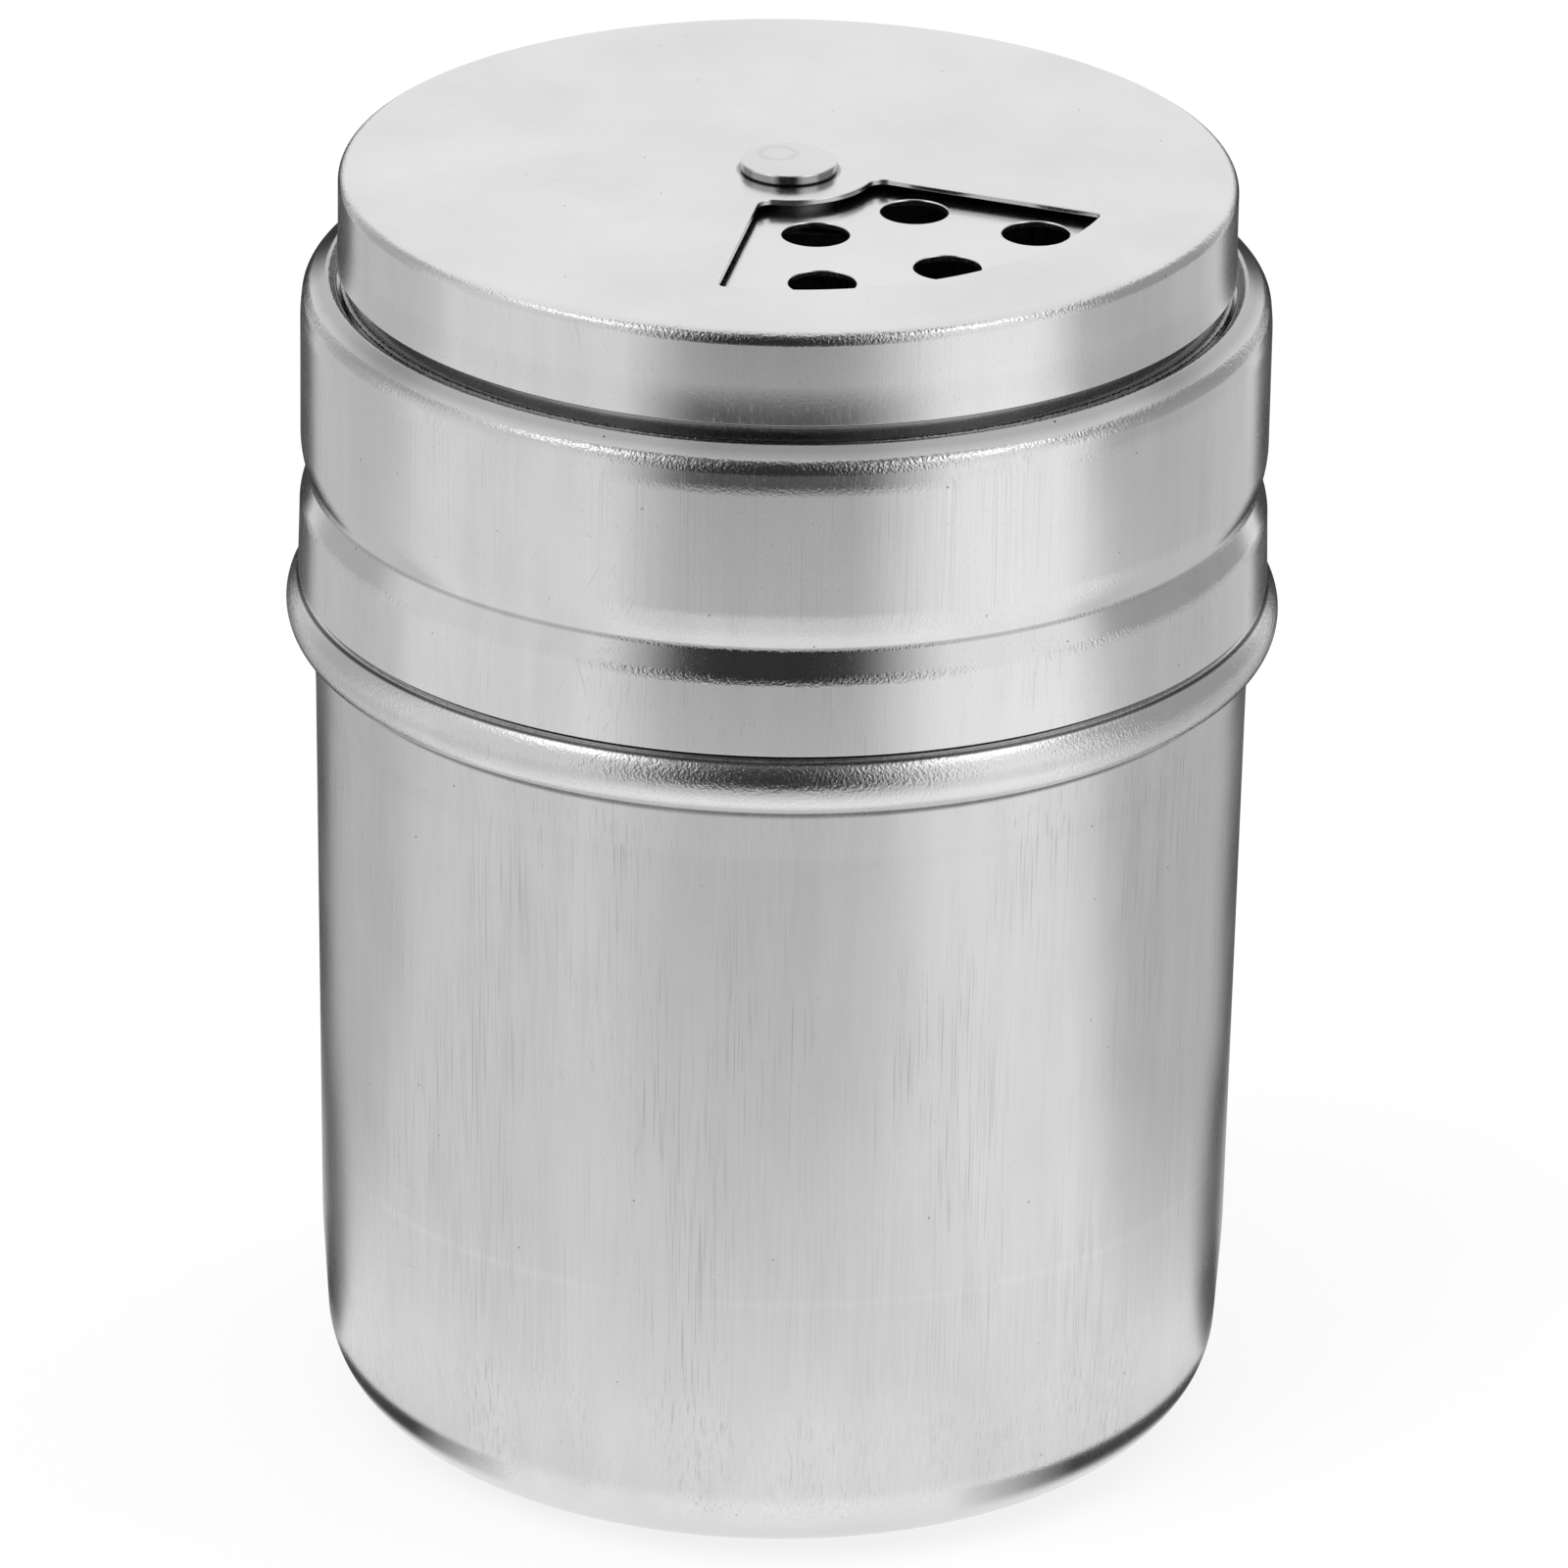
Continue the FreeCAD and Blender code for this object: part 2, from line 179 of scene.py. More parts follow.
def beside(corners: list[Corner], distance: float) -> list[Corner]:
    """The line that runs parallel to a section's line, at a distance to its left.

    Each run is moved sideways and crossed with the next, and each bend stays concentric: a bend towards the
    moved side gets tighter by the distance, and a bend away from it gets wider.

    Args:
        corners: The line's corners.
        distance: How far to the left, or to the right if it is negative.

    Returns:
        The parallel line's corners.
    """
    places = [np.array([c.radius, c.height]) for c in corners]
    runs = [unit(b - a) for a, b in zip(places, places[1:])]
    sides = [np.array([-run[1], run[0]]) * distance for run in runs]
    found = [Corner(*(places[0] + sides[0]))]
    for k in range(1, len(places) - 1):
        start, end = places[k] + sides[k - 1], places[k] + sides[k]
        cross = runs[k - 1][0] * runs[k][1] - runs[k - 1][1] * runs[k][0]
        gap = end - start
        place = start + runs[k - 1] * ((gap[0] * runs[k][1] - gap[1] * runs[k][0]) / cross)
        tighter = (cross > 0) == (distance > 0)
        bend = corners[k].bend - abs(distance) if tighter else corners[k].bend + abs(distance)
        found.append(Corner(place[0], place[1], max(bend, 0.0)))
    found.append(Corner(*(places[-1] + sides[-1])))
    return found


def section_line(corners: list[Corner]) -> tuple[np.ndarray, np.ndarray, np.ndarray]:
    """Places, right-hand normals and bend marks along straight runs joined by tangent arcs.

    At a corner that turns by an angle, the arc's centre lies on the turn's inner side, at the bend's radius
    from both runs. Places on the arc are the centre plus the radius times the cosine and sine of the arc's
    angle. Over a bend, the bend mark rises and falls as the root of a half sine wave, and over an inward bend
    the crease shade mark, which places painted shade, as the half wave itself.

    Args:
        corners: The section's corners, in order.

    Returns:
        (n, 2) places, (n, 2) normals to the right of the direction, and (n, 2) bend and crease shade marks.
    """
    places = [np.array([c.radius, c.height]) for c in corners]
    points: list[np.ndarray] = []
    normals: list[np.ndarray] = []
    marks: list[np.ndarray] = []
    start = places[0]
    for k in range(1, len(places)):
        run = unit(places[k] - places[k - 1])
        last = k == len(places) - 1
        turn = 0.0
        if not last:
            out = unit(places[k + 1] - places[k])
            turn = math.atan2(run[0] * out[1] - run[1] * out[0], float(run @ out))
        reach = 0.0 if last else corners[k].bend * math.tan(abs(turn) / 2.0)
        end = places[k] - run * reach
        steps = max(1, math.ceil(float(np.linalg.norm(end - start)) / RUN_STEP))
        share = np.linspace(0.0, 1.0, steps + 1)[:, None]
        points.append(start + (end - start) * share)
        normals.append(np.repeat([[run[1], -run[0]]], steps + 1, axis=0))
        marks.append(np.zeros((steps + 1, 2)))
        if not last and corners[k].bend > 0.0:
            side = math.copysign(1.0, turn)
            centre = end + np.array([-run[1], run[0]]) * side * corners[k].bend
            longest = max(ARC_STEP, ARC_TURN * corners[k].bend)
            steps = max(LEAST_ARC_STEPS, math.ceil(abs(turn) * corners[k].bend / longest))
            angle = math.atan2(run[1], run[0]) + turn * np.linspace(0.0, 1.0, steps + 1)
            right = np.stack([np.sin(angle), -np.cos(angle)], axis=1)
            points.append(centre + right * side * corners[k].bend)
            normals.append(right)
            tight = min(1.0, TIGHT_BEND / corners[k].bend) if corners[k].bend > LEAST_BEND else 0.0
            swell = np.sin(np.pi * np.linspace(0.0, 1.0, steps + 1)).clip(0.0)
            # the second mark places painted shade in the middle of an inward bend
            marks.append(np.stack([swell ** 0.5 * tight, swell * (tight if turn < 0.0 else 0.0)], axis=1))
            start = points[-1][-1]
        else:
            start = end
    line, normal, mark = np.vstack(points), np.vstack(normals), np.vstack(marks)
    keep = np.concatenate([[True], np.linalg.norm(np.diff(line, axis=0), axis=1) > LEAST_STEP])
    return line[keep], normal[keep], mark[keep]


def sheet_section(corners: list[Corner], thickness: float) -> list[Corner]:
    """The closed outline of a sheet: along its outer line, round its trimmed edge and back inside.

    Args:
        corners: The outer line, from the middle of the piece to its trimmed edge.
        thickness: The sheet, to the left of the line.

    Returns:
        Corners from the outer line's start to the inner line's start.
    """
    inner = beside(corners, thickness)
    edge = [Corner(corners[-1].radius, corners[-1].height, EDGE_BREAK),
            Corner(inner[-1].radius, inner[-1].height, EDGE_BREAK)]
    return corners[:-1] + edge + inner[-2::-1]


def turn_section(corners: list[Corner]) -> tuple[Surface, np.ndarray, np.ndarray]:
    """Turn a section about the upright axis.

    A place at radius r and height z becomes (r cos a, r sin a, z) for every angle a round the axis. The
    solid lies to the left of the section's direction, so the right-hand normal points out of it. Where the
    section starts or ends on the axis, that ring is one point with a fan of triangles.

    Args:
        corners: The section's corners, with the sheet to the left.

    Returns:
        The surface, and the indices of its first and last ring.
    """
    line, normal, mark = section_line(corners)
    angle = np.linspace(0.0, 2.0 * np.pi, AROUND, endpoint=False) + np.pi / 2.0
    cos, sin = np.cos(angle), np.sin(angle)
    made = Surface.empty()
    rings: list[np.ndarray] = []
    on_axis = line[:, 0] < LEAST_STEP
    for k, (place, out) in enumerate(zip(line, normal)):
        if on_axis[k]:
            up = math.copysign(1.0, out[1])
            first = made.add(np.array([[0.0, 0.0, place[1]]]), np.array([[0.0, 0.0, up]]))
            rings.append(np.full(AROUND, first))
            continue
        ring = np.stack([place[0] * cos, place[0] * sin, np.full(AROUND, place[1])], axis=1)
        out_ring = np.stack([out[0] * cos, out[0] * sin, np.full(AROUND, out[1])], axis=1)
        first = made.add(ring, out_ring, tuple(mark[k]))
        rings.append(np.arange(first, first + AROUND))
    for k, (low, high) in enumerate(zip(rings, rings[1:])):
        low_next, high_next = np.roll(low, -1), np.roll(high, -1)
        if on_axis[k]:
            made.faces.append(np.stack([low, high_next, high], axis=1))
        elif on_axis[k + 1]:
            made.faces.append(np.stack([low, low_next, high], axis=1))
        else:
            made.faces.append(np.stack([low, low_next, high_next, high], axis=1))
    return made, rings[0], rings[-1]


def turn_lid(outer: list[Corner], thickness: float,
             edge_round: float) -> tuple[Surface, np.ndarray, np.ndarray]:
    """Turn a sheet that opens downwards: its inside, round its lower edge, and its outside.

    Args:
        outer: The outer line, from the lower edge up to where the flat plate takes over.
        thickness: The sheet.
        edge_round: Round of the edge's outer corner.

    Returns:
        The surface, and the indices of the rings on the plate's lower and upper face.
    """
    inner = beside(outer, thickness)
    edge = [Corner(inner[0].radius, inner[0].height, EDGE_BREAK),
            Corner(outer[0].radius, outer[0].height, edge_round)]
    return turn_section(inner[:0:-1] + edge + outer[1:])


# Punched holes


@dataclass(frozen=True)
class Loop:
    """A hole's outline seen from above, anticlockwise, with unit normals that point into the sheet."""

    places: np.ndarray
    into_sheet: np.ndarray


def round_hole(radius: float, x: float = 0.0, y: float = 0.0, steps: int = 48) -> Loop:
    """A circle: the centre plus the radius times the cosine and sine of the angle.

    Args:
        radius: The hole's radius.
        x: Its centre.
        y: Its centre.
        steps: Points round it.

    Returns:
        The hole's outline.
    """
    angle = np.linspace(0.0, 2.0 * np.pi, steps, endpoint=False)
    out = np.stack([np.cos(angle), np.sin(angle)], axis=1)
    return Loop(out * radius + [x, y], out)


@dataclass(frozen=True)
class Sector:
    """A ring sector about the pivot, with rounded corners and straight sides."""

    inner: float
    outer: float
    half_deg: float
    setback: float                  # how far behind the pivot the two sides meet
    corner: float                   # round of the two outer corners
    hub_corner: float               # round of the two inner ones
    middle_deg: float

    def loop(self) -> Loop:
        """Outline of the sector.

        It is worked out for the half above the middle line and mirrored. A corner's centre lies at the
        corner's radius from the straight side and from the arc, so it is where the side, moved in by that
        radius, crosses the arc, moved in by it too.

        Returns:
            The outline, turned to the sector's middle direction.
        """
        half = math.radians(self.half_deg)
        along = np.array([math.cos(half), math.sin(half)])
        inwards = np.array([math.sin(half), -math.cos(half)])
        apex = np.array([-self.setback, 0.0])
        outer_centre = self._crossing(apex + inwards * self.corner, along, self.outer - self.corner)
        inner_centre = self._crossing(apex + inwards * self.hub_corner, along, self.inner + self.hub_corner)
        outer_deg = math.atan2(outer_centre[1], outer_centre[0])
        inner_deg = math.atan2(inner_centre[1], inner_centre[0])
        side = math.atan2(-inwards[1], -inwards[0])
        arc, short, run = 28, 8, 12     # points along half the outer arc, a corner and a side
        angle = np.linspace(0.0, outer_deg, arc, endpoint=False)
        places = [self._ring(angle) * self.outer]
        normals = [self._ring(angle)]
        angle = np.linspace(outer_deg, side, short, endpoint=False)
        places.append(outer_centre + self._ring(angle) * self.corner)
        normals.append(self._ring(angle))
        share = np.linspace(0.0, 1.0, run, endpoint=False)[:, None]
        start, end = outer_centre - inwards * self.corner, inner_centre - inwards * self.hub_corner
        places.append(start + (end - start) * share)
        normals.append(np.repeat([-inwards], run, axis=0))
        angle = np.linspace(side, inner_deg + math.pi, short, endpoint=False)
        places.append(inner_centre + self._ring(angle) * self.hub_corner)
        normals.append(self._ring(angle))
        angle = np.linspace(inner_deg, 0.0, arc // 2)
        places.append(self._ring(angle) * self.inner)
        normals.append(-self._ring(angle))
        upper, out = np.vstack(places), np.vstack(normals)
        lower, lower_out = upper[-2:0:-1] * [1, -1], out[-2:0:-1] * [1, -1]
        turn = math.radians(self.middle_deg)
        spin = np.array([[math.cos(turn), math.sin(turn)], [-math.sin(turn), math.cos(turn)]])
        return Loop(np.vstack([upper, lower]) @ spin, np.vstack([out, lower_out]) @ spin)

    @staticmethod
    def _ring(angle: np.ndarray) -> np.ndarray:
        """Unit vectors at angles."""
        return np.stack([np.cos(angle), np.sin(angle)], axis=1)

    @staticmethod
    def _crossing(start: np.ndarray, along: np.ndarray, radius: float) -> np.ndarray:
        """Where a line from start crosses the circle of that radius about the pivot, ahead of start."""
        half_b = float(start @ along)
        reach = -half_b + math.sqrt(half_b * half_b - float(start @ start) + radius * radius)
        return start + along * reach


@dataclass(frozen=True)
class Punch:
    """How a hole's edge looks."""

    roll: float = 0.10              # round of the upper edge, which the punch rolls over
    break_round: float = 0.03       # small round of the lower edge
    steps: int = 6                  # places on each round


def punch_holes(made: Surface, loops: list[Loop], top_ring: np.ndarray, under_ring: np.ndarray,
                punch: Punch) -> None:
    """Close a turned sheet's middle with a flat plate on each face, pierced by holes with rolled edges.

    A hole's edge is swept down from the upper face: a quarter round, the sheared wall, and a quarter round
    into the lower face. Each row is the hole's outline moved into the sheet by that row's distance.

    Args:
        made: The turned sheet, which gains the plates and the holes' walls.
        loops: The holes' outlines.
        top_ring: Indices of the sheet's ring on the upper face.
        under_ring: Indices of its ring on the lower face.
        punch: The look of the holes' edges.
    """
    top, under = made.points[top_ring[0], 2], made.points[under_ring[0], 2]
    swing = np.linspace(0.0, np.pi / 2.0, punch.steps)
    away = np.concatenate([punch.roll * (1 - np.sin(swing)), punch.break_round * (1 - np.cos(swing))])
    height = np.concatenate([top - punch.roll * (1 - np.cos(swing)),
                             under + punch.break_round * (1 - np.sin(swing))])
    up = np.concatenate([np.cos(swing), -np.sin(swing)])
    out = np.concatenate([np.sin(swing), np.cos(swing)])
    upper_rings, lower_rings = [top_ring], [under_ring]
    for loop in loops:
        count = len(loop.places)
        rows = []
        for distance, z, normal_z, normal_out in zip(away, height, up, out):
            places = loop.places + loop.into_sheet * distance
            ring = np.column_stack([places, np.full(count, z)])
            normal = np.column_stack([-loop.into_sheet * normal_out, np.full(count, normal_z)])
            first = made.add(ring, normal)
            rows.append(np.arange(first, first + count))
        for high, low in zip(rows, rows[1:]):
            made.faces.append(np.stack([high, np.roll(high, -1), np.roll(low, -1), low], axis=1))
        upper_rings.append(rows[0])
        lower_rings.append(rows[-1])
    made.faces.append(flat_plate(made, upper_rings))
    made.faces.append(flat_plate(made, lower_rings)[:, ::-1])


def flat_plate(made: Surface, rings: list[np.ndarray]) -> np.ndarray:
    """Triangles of the flat region inside the first ring and outside all the others, facing up.

    Args:
        made: The surface that holds the rings' points.
        rings: Index rings, the outer boundary first.

    Returns:
        (n, 3) indices.
    """
    index = np.concatenate(rings)
    flat = made.points[index, :2]
    edges = []
    first = 0
    for ring in rings:
        own = np.arange(first, first + len(ring))
        edges += np.stack([own, np.roll(own, -1)], axis=1).tolist()
        first += len(ring)
    solved = delaunay_2d_cdt([Vector(p) for p in flat], edges, [], 0, 1e-7)
    places = np.array([tuple(p) for p in solved[0]])
    source = np.array([ids[0] for ids in solved[3]])
    triangles = np.array(solved[2])
    middle = places[triangles].mean(axis=1)
    keep = inside(made.points[rings[0], :2], middle)
    for ring in rings[1:]:
        keep &= ~inside(made.points[ring, :2], middle)
    triangles = triangles[keep]
    a, b, c = (places[triangles[:, k]] for k in range(3))
    area = (b[:, 0] - a[:, 0]) * (c[:, 1] - a[:, 1]) - (b[:, 1] - a[:, 1]) * (c[:, 0] - a[:, 0])
    triangles[area < 0] = triangles[area < 0][:, ::-1]
    return index[source[triangles]]


def inside(outline: np.ndarray, places: np.ndarray) -> np.ndarray:
    """Which places lie inside a closed outline, by counting the edges that a ray to the right crosses.

    Args:
        outline: (n, 2) corners.
        places: (m, 2) places.

    Returns:
        (m,) truth values.
    """
    a, b = outline, np.roll(outline, -1, axis=0)
    y = places[:, 1][:, None]
    spans = (a[:, 1] > y) != (b[:, 1] > y)
    rise = np.where(b[:, 1] == a[:, 1], 1.0, b[:, 1] - a[:, 1])
    crossing = a[:, 0] + (y - a[:, 1]) * (b[:, 0] - a[:, 0]) / rise
    return (np.sum(spans & (places[:, 0][:, None] < crossing), axis=1) % 2) == 1


# Finishes


class Wear(Enum):
    """How much handling shows on a finish."""

    LIGHT = 0.5
    USED = 1.0


@dataclass(frozen=True)
class ShadeRing:
    """A ring of painted shade, where two pieces nearly meet or under an edge: the colour darkens towards the
    ring. Lengths are millimetres.
    """

    radius: float
    height: float
    reach: float
    dark: float


@dataclass(frozen=True)
class Steel:
    """A stainless finish. Lengths are millimetres, depths are micrometres.

    Upright walls are brushed and streaked. Flats stay as rolled, and tight bends show the orange-peel grain
    that drawing leaves. Painted shade darkens the middle of inward bends and the shade rings.
    """

    name: str
    grey: float                     # of flats and bends, 1 is white
    wall_grey: float
    rough: float                    # roughness of flats
    wall_rough: float
    bend_rough: float
    streak_width: float = 0.10
    streak_length: float = 12.0
    streak_depth: float = 0.7
    streak_tone: float = 0.22       # tones are shares of the grey
    broad_width: float = 2.0        # broad streaks, which only change the tone
    broad_squash: float = 0.12      # how much a broad streak's noise is drawn out lengthwise
    broad_tone: float = 0.14
    hair_depth: float = 0.8
    hair_tone: float = 0.20         # hairlines of the brushing
    hair_dull: float = 0.08         # what they add to the roughness
    cloud_size: float = 9.0         # soft clouds, which are also shallow dents
    cloud_tone: float = 0.16
    cloud_dull: float = 0.12
    dent_depth: float = 14.0
    patch_size: float = 16.0        # the streaks come and go in patches of about this size
    grain_size: float = 0.20
    grain_depth: float = 45.0       # on a tight bend
    flat_depth: float = 0.05        # off the bends
    # painted shade: share by which the middle of a tight inward bend is darkened
    crease_shade_tone: float = 0.35
    mark_depth: float = 1.0         # scratches
    mark_tone: float = 0.09
    mark_dull: float = 0.12
    pit_depth: float = 3.0
    pit_tone: float = 0.5
    draw_line: float | None = None  # height of a faint ring that the draw leaves on the wall
    draw_width: float = 0.45
    draw_tone: float = 0.09
    forge_mark: tuple[float, float, float] | None = None    # centre and radius of the heading tool's mark
    forge_width: float = 0.35
    forge_depth: float = 9.0
    forge_tone: float = 0.12
    # rings of painted shade near gaps and under edges
    shade_rings: tuple[ShadeRing, ...] = ()
    wear: Wear = Wear.LIGHT

    def build(self) -> bpy.types.Material:
        """Node material: upright brushing on walls, grain on bends, a few marks of handling, and painted
        shade.

        Returns:
            The material.
        """
        material, graph = new_material(self.name)
        shader = graph.tree.nodes["Principled BSDF"]
        shader.inputs["Metallic"].default_value = 1.0
        place = graph.node("ShaderNodeTexCoord").outputs["Object"]
        bend, wall = graph.attribute(BEND_MARK), graph.attribute(WALL_MARK)
        streak, crease = graph.attribute(STREAK_MARK), graph.attribute(CREASE_SHADE_MARK)
        squash = self.streak_width / self.streak_length
        streaks = graph.noise(graph.scaled(place, (1.0, 1.0, squash)), self.streak_width, 4.0)
        broad = graph.noise(graph.scaled(place, (1.0, 1.0, self.broad_squash)), self.broad_width, 3.0)
        cloud = graph.noise(place, self.cloud_size, 6.0)
        patch = graph.peaks(graph.noise(place, self.patch_size, 2.0), above=0.36, over=0.22)
        grain = graph.noise(place, self.grain_size, 2.5)
        hairs = graph.product(graph.hairlines(place), streak)
        marks, pits = graph.scratches(place, self.wear), graph.pits(place, self.wear)
        brushing = graph.product(graph.centred(streaks), graph.product(streak, patch))
        grain_depth = graph.blend(self.flat_depth, self.grain_depth, bend)
        # tones; the crease shade term is painted shade in inward bends
        tones = [(brushing, self.streak_tone), (graph.product(graph.centred(broad), streak), self.broad_tone),
                 (hairs, -self.hair_tone), (graph.centred(cloud), self.cloud_tone),
                 (crease, -self.crease_shade_tone), (marks, -self.mark_tone), (pits, -self.pit_tone)]
        # painted shade along each shade ring
        tones += [(graph.near_shade_ring(place, shade_ring), -shade_ring.dark) for shade_ring in self.shade_rings]
        heights = [(brushing, self.streak_depth), (hairs, -self.hair_depth),
                   (graph.product(graph.centred(grain), grain_depth), 1.0), (cloud, self.dent_depth),
                   (marks, -self.mark_depth), (pits, -self.pit_depth)]
        if self.draw_line is not None:
            ring = graph.product(graph.near_height(place, self.draw_line, self.draw_width), patch)
            tones.append((graph.product(ring, streaks), self.draw_tone))
        if self.forge_mark is not None:
            ring = graph.ring(place, self.forge_mark, self.forge_width)
            tones.append((ring, -self.forge_tone))
            heights.append((ring, -self.forge_depth))
        level = graph.blend(self.grey, self.wall_grey, wall)
        graph.link(graph.grey(level, graph.total(tones)), shader.inputs["Base Color"])
        base = graph.math("ADD", graph.blend(self.rough, self.wall_rough, wall),
                          graph.math("MULTIPLY", bend, self.bend_rough - self.rough))
        dulling = [(base, 1.0), (graph.centred(cloud), self.cloud_dull), (hairs, self.hair_dull),
                   (marks, self.mark_dull)]
        graph.link(graph.total(dulling), shader.inputs["Roughness"])
        bump = graph.node("ShaderNodeBump")
        bump.inputs["Distance"].default_value = MICROMETRE
        bump.inputs["Strength"].default_value = 1.0
        graph.link(graph.total(heights), bump.inputs["Height"])
        graph.link(bump.outputs["Normal"], shader.inputs["Normal"])
        return material


@dataclass
class Graph:
    """Short words for the nodes that the finishes are built from."""

    tree: bpy.types.NodeTree

    def node(self, kind: str) -> bpy.types.Node:
        """A new node of that kind."""
        return self.tree.nodes.new(kind)

    def link(self, source: bpy.types.NodeSocket, target: bpy.types.NodeSocket) -> None:
        """Join two sockets."""
        self.tree.links.new(source, target)

    def attribute(self, name: str) -> bpy.types.NodeSocket:
        """The value of a mesh attribute."""
        found = self.node("ShaderNodeAttribute")
        found.attribute_name = name
        return found.outputs["Fac"]

    def scaled(self, vector: bpy.types.NodeSocket, scale: tuple[float, float, float],
               turn: tuple[float, float, float] = (0.0, 0.0, 0.0)) -> bpy.types.NodeSocket:
        """A vector, turned and then scaled along each axis.

        Args:
            vector: The vector's socket.
            scale: Scale along X, Y and Z.
            turn: Turn about X, Y and Z in radians.

        Returns:
            The new vector's socket.
        """
        for entry, value in (("Rotation", turn), ("Scale", scale)):
            mapping = self.node("ShaderNodeMapping")
            mapping.inputs[entry].default_value = value
            self.link(vector, mapping.inputs["Vector"])
            vector = mapping.outputs["Vector"]
        return vector

    def noise(self, vector: bpy.types.NodeSocket, size: float, detail: float) -> bpy.types.NodeSocket:
        """Soft noise about one half.

        Args:
            vector: Where it is read.
            size: Its grain in millimetres.
            detail: Its octaves.

        Returns:
            The noise's socket.
        """
        found = self.node("ShaderNodeTexNoise")
        found.inputs["Scale"].default_value = 1.0 / (size * MM)
        found.inputs["Detail"].default_value = detail
        self.link(vector, found.inputs["Vector"])
        return found.outputs["Fac"]

    def math(self, operation: str, a: bpy.types.NodeSocket | float, b: bpy.types.NodeSocket | float,
             clamp: bool = False) -> bpy.types.NodeSocket:
        """One sum on two numbers, each a socket or a plain value.

        Args:
            operation: The math node's operation.
            a: The first number.
            b: The second number.
            clamp: Whether the result is kept between 0 and 1.

        Returns:
            The result's socket.
        """
        found = self.node("ShaderNodeMath")
        found.operation = operation
        found.use_clamp = clamp
        for socket, value in zip(found.inputs, (a, b)):
            if isinstance(value, (int, float)):
                socket.default_value = value
            else:
                self.link(value, socket)
        return found.outputs["Value"]

    def product(self, a: bpy.types.NodeSocket, b: bpy.types.NodeSocket) -> bpy.types.NodeSocket:
        """Two numbers multiplied."""
        return self.math("MULTIPLY", a, b)

    def total(self, parts: list[tuple[bpy.types.NodeSocket, float]]) -> bpy.types.NodeSocket:
        """A weighted sum.

        Args:
            parts: Numbers and their weights.

        Returns:
            The sum's socket.
        """
        total: bpy.types.NodeSocket | float = 0.0
        for value, weight in parts:
            total = self.math("ADD", self.math("MULTIPLY", value, weight), total)
        return total

    def blend(self, low: float, high: float, share: bpy.types.NodeSocket) -> bpy.types.NodeSocket:
        """From low to high as share goes from 0 to 1."""
        return self.math("ADD", self.math("MULTIPLY", share, high - low), low)

    def centred(self, value: bpy.types.NodeSocket) -> bpy.types.NodeSocket:
        """A number about one half, moved to lie about nought."""
        return self.math("SUBTRACT", value, 0.5)

    def grey(self, level: bpy.types.NodeSocket, tone: bpy.types.NodeSocket) -> bpy.types.NodeSocket:
        """A grey, lighter or darker by a share of itself."""
        value = self.math("MULTIPLY", self.math("ADD", tone, 1.0), level, clamp=True)
        colour = self.node("ShaderNodeCombineColor")
        for name in ("Red", "Green", "Blue"):
            self.link(value, colour.inputs[name])
        return colour.outputs["Color"]

    def ramp(self, value: bpy.types.NodeSocket, share: float) -> bpy.types.NodeSocket:
        """From 0 up to 1 as the value goes from 0 to the share."""
        return self.math("DIVIDE", value, share, clamp=True)

    def seen(self) -> bpy.types.NodeSocket:
        """1 for what the camera sees, straight or in a mirroring or clear surface, otherwise 0."""
        path = self.node("ShaderNodeLightPath")
        straight = self.math("ADD", path.outputs["Is Camera Ray"], path.outputs["Is Glossy Ray"])
        return self.math("ADD", straight, path.outputs["Is Transmission Ray"], clamp=True)

    def peaks(self, value: bpy.types.NodeSocket, above: float, over: float) -> bpy.types.NodeSocket:
        """Only the highest places of a noise: 0 up to a level, then up to 1 over a share."""
        return self.ramp(self.math("SUBTRACT", value, above), over)

    def hairlines(self, place: bpy.types.NodeSocket) -> bpy.types.NodeSocket:
        """Upright hairlines: the peaks of a noise drawn out lengthwise, thinned out by broad patches.

        Args:
            place: Object coordinates.

        Returns:
            A number from 0 to 1.
        """
        lines = self.noise(self.scaled(place, (1.0, 1.0, 0.006)), size=0.085, detail=1.0)
        patches = self.noise(self.scaled(place, (1.0, 1.0, 0.35)), size=7.0, detail=2.0)
        return self.product(self.peaks(lines, above=0.57, over=0.12),
                            self.peaks(patches, above=0.40, over=0.20))

    def scratches(self, place: bpy.types.NodeSocket, wear: Wear) -> bpy.types.NodeSocket:
        """Sparse fine scratches in three leanings: the highest peaks of noises drawn out lengthwise.

        Args:
            place: Object coordinates.
            wear: How many there are.

        Returns:
            A number from 0 to 1.
        """
        leanings = (((0.16, 0.25, 0.0), (1.0, 1.0, 0.014)),
                    ((-0.2, -0.45, 0.4), (1.0, 1.0, 0.025)),
                    ((0.1, 0.12, 0.9), (0.025, 1.0, 1.0)))
        above = 0.83 - 0.04 * wear.value
        found = []
        for turn, scale in leanings:
            lines = self.noise(self.scaled(place, scale, turn), size=0.10, detail=0.0)
            found.append((self.peaks(lines, above, over=0.04), 1.0))
        return self.math("MINIMUM", self.total(found), 1.0)

    def pits(self, place: bpy.types.NodeSocket, wear: Wear) -> bpy.types.NodeSocket:
        """Sparse pin-prick pits, where the surface passes close to the points of a cell pattern.

        Args:
            place: Object coordinates.
            wear: How many there are.

        Returns:
            A number from 0 to 1.
        """
        cells_per_mm = 0.2 + 0.3 * wear.value
        reach, ease = 0.036, 0.014      # shares of a cell
        cells = self.node("ShaderNodeTexVoronoi")
        cells.inputs["Scale"].default_value = cells_per_mm / MM
        self.link(place, cells.inputs["Vector"])
        return self.ramp(self.math("SUBTRACT", reach, cells.outputs["Distance"]), ease)

    def near(self, away: bpy.types.NodeSocket, reach: float, ease: float = 1.0) -> bpy.types.NodeSocket:
        """1 where a distance is nought, and 0 from a reach on.

        Args:
            away: The distance, in metres.
            reach: The reach, in millimetres.
            ease: The share of the reach over which the number falls, at its far end.

        Returns:
            A number from 0 to 1.
        """
        return self.ramp(self.math("SUBTRACT", reach * MM, away), ease * reach * MM)

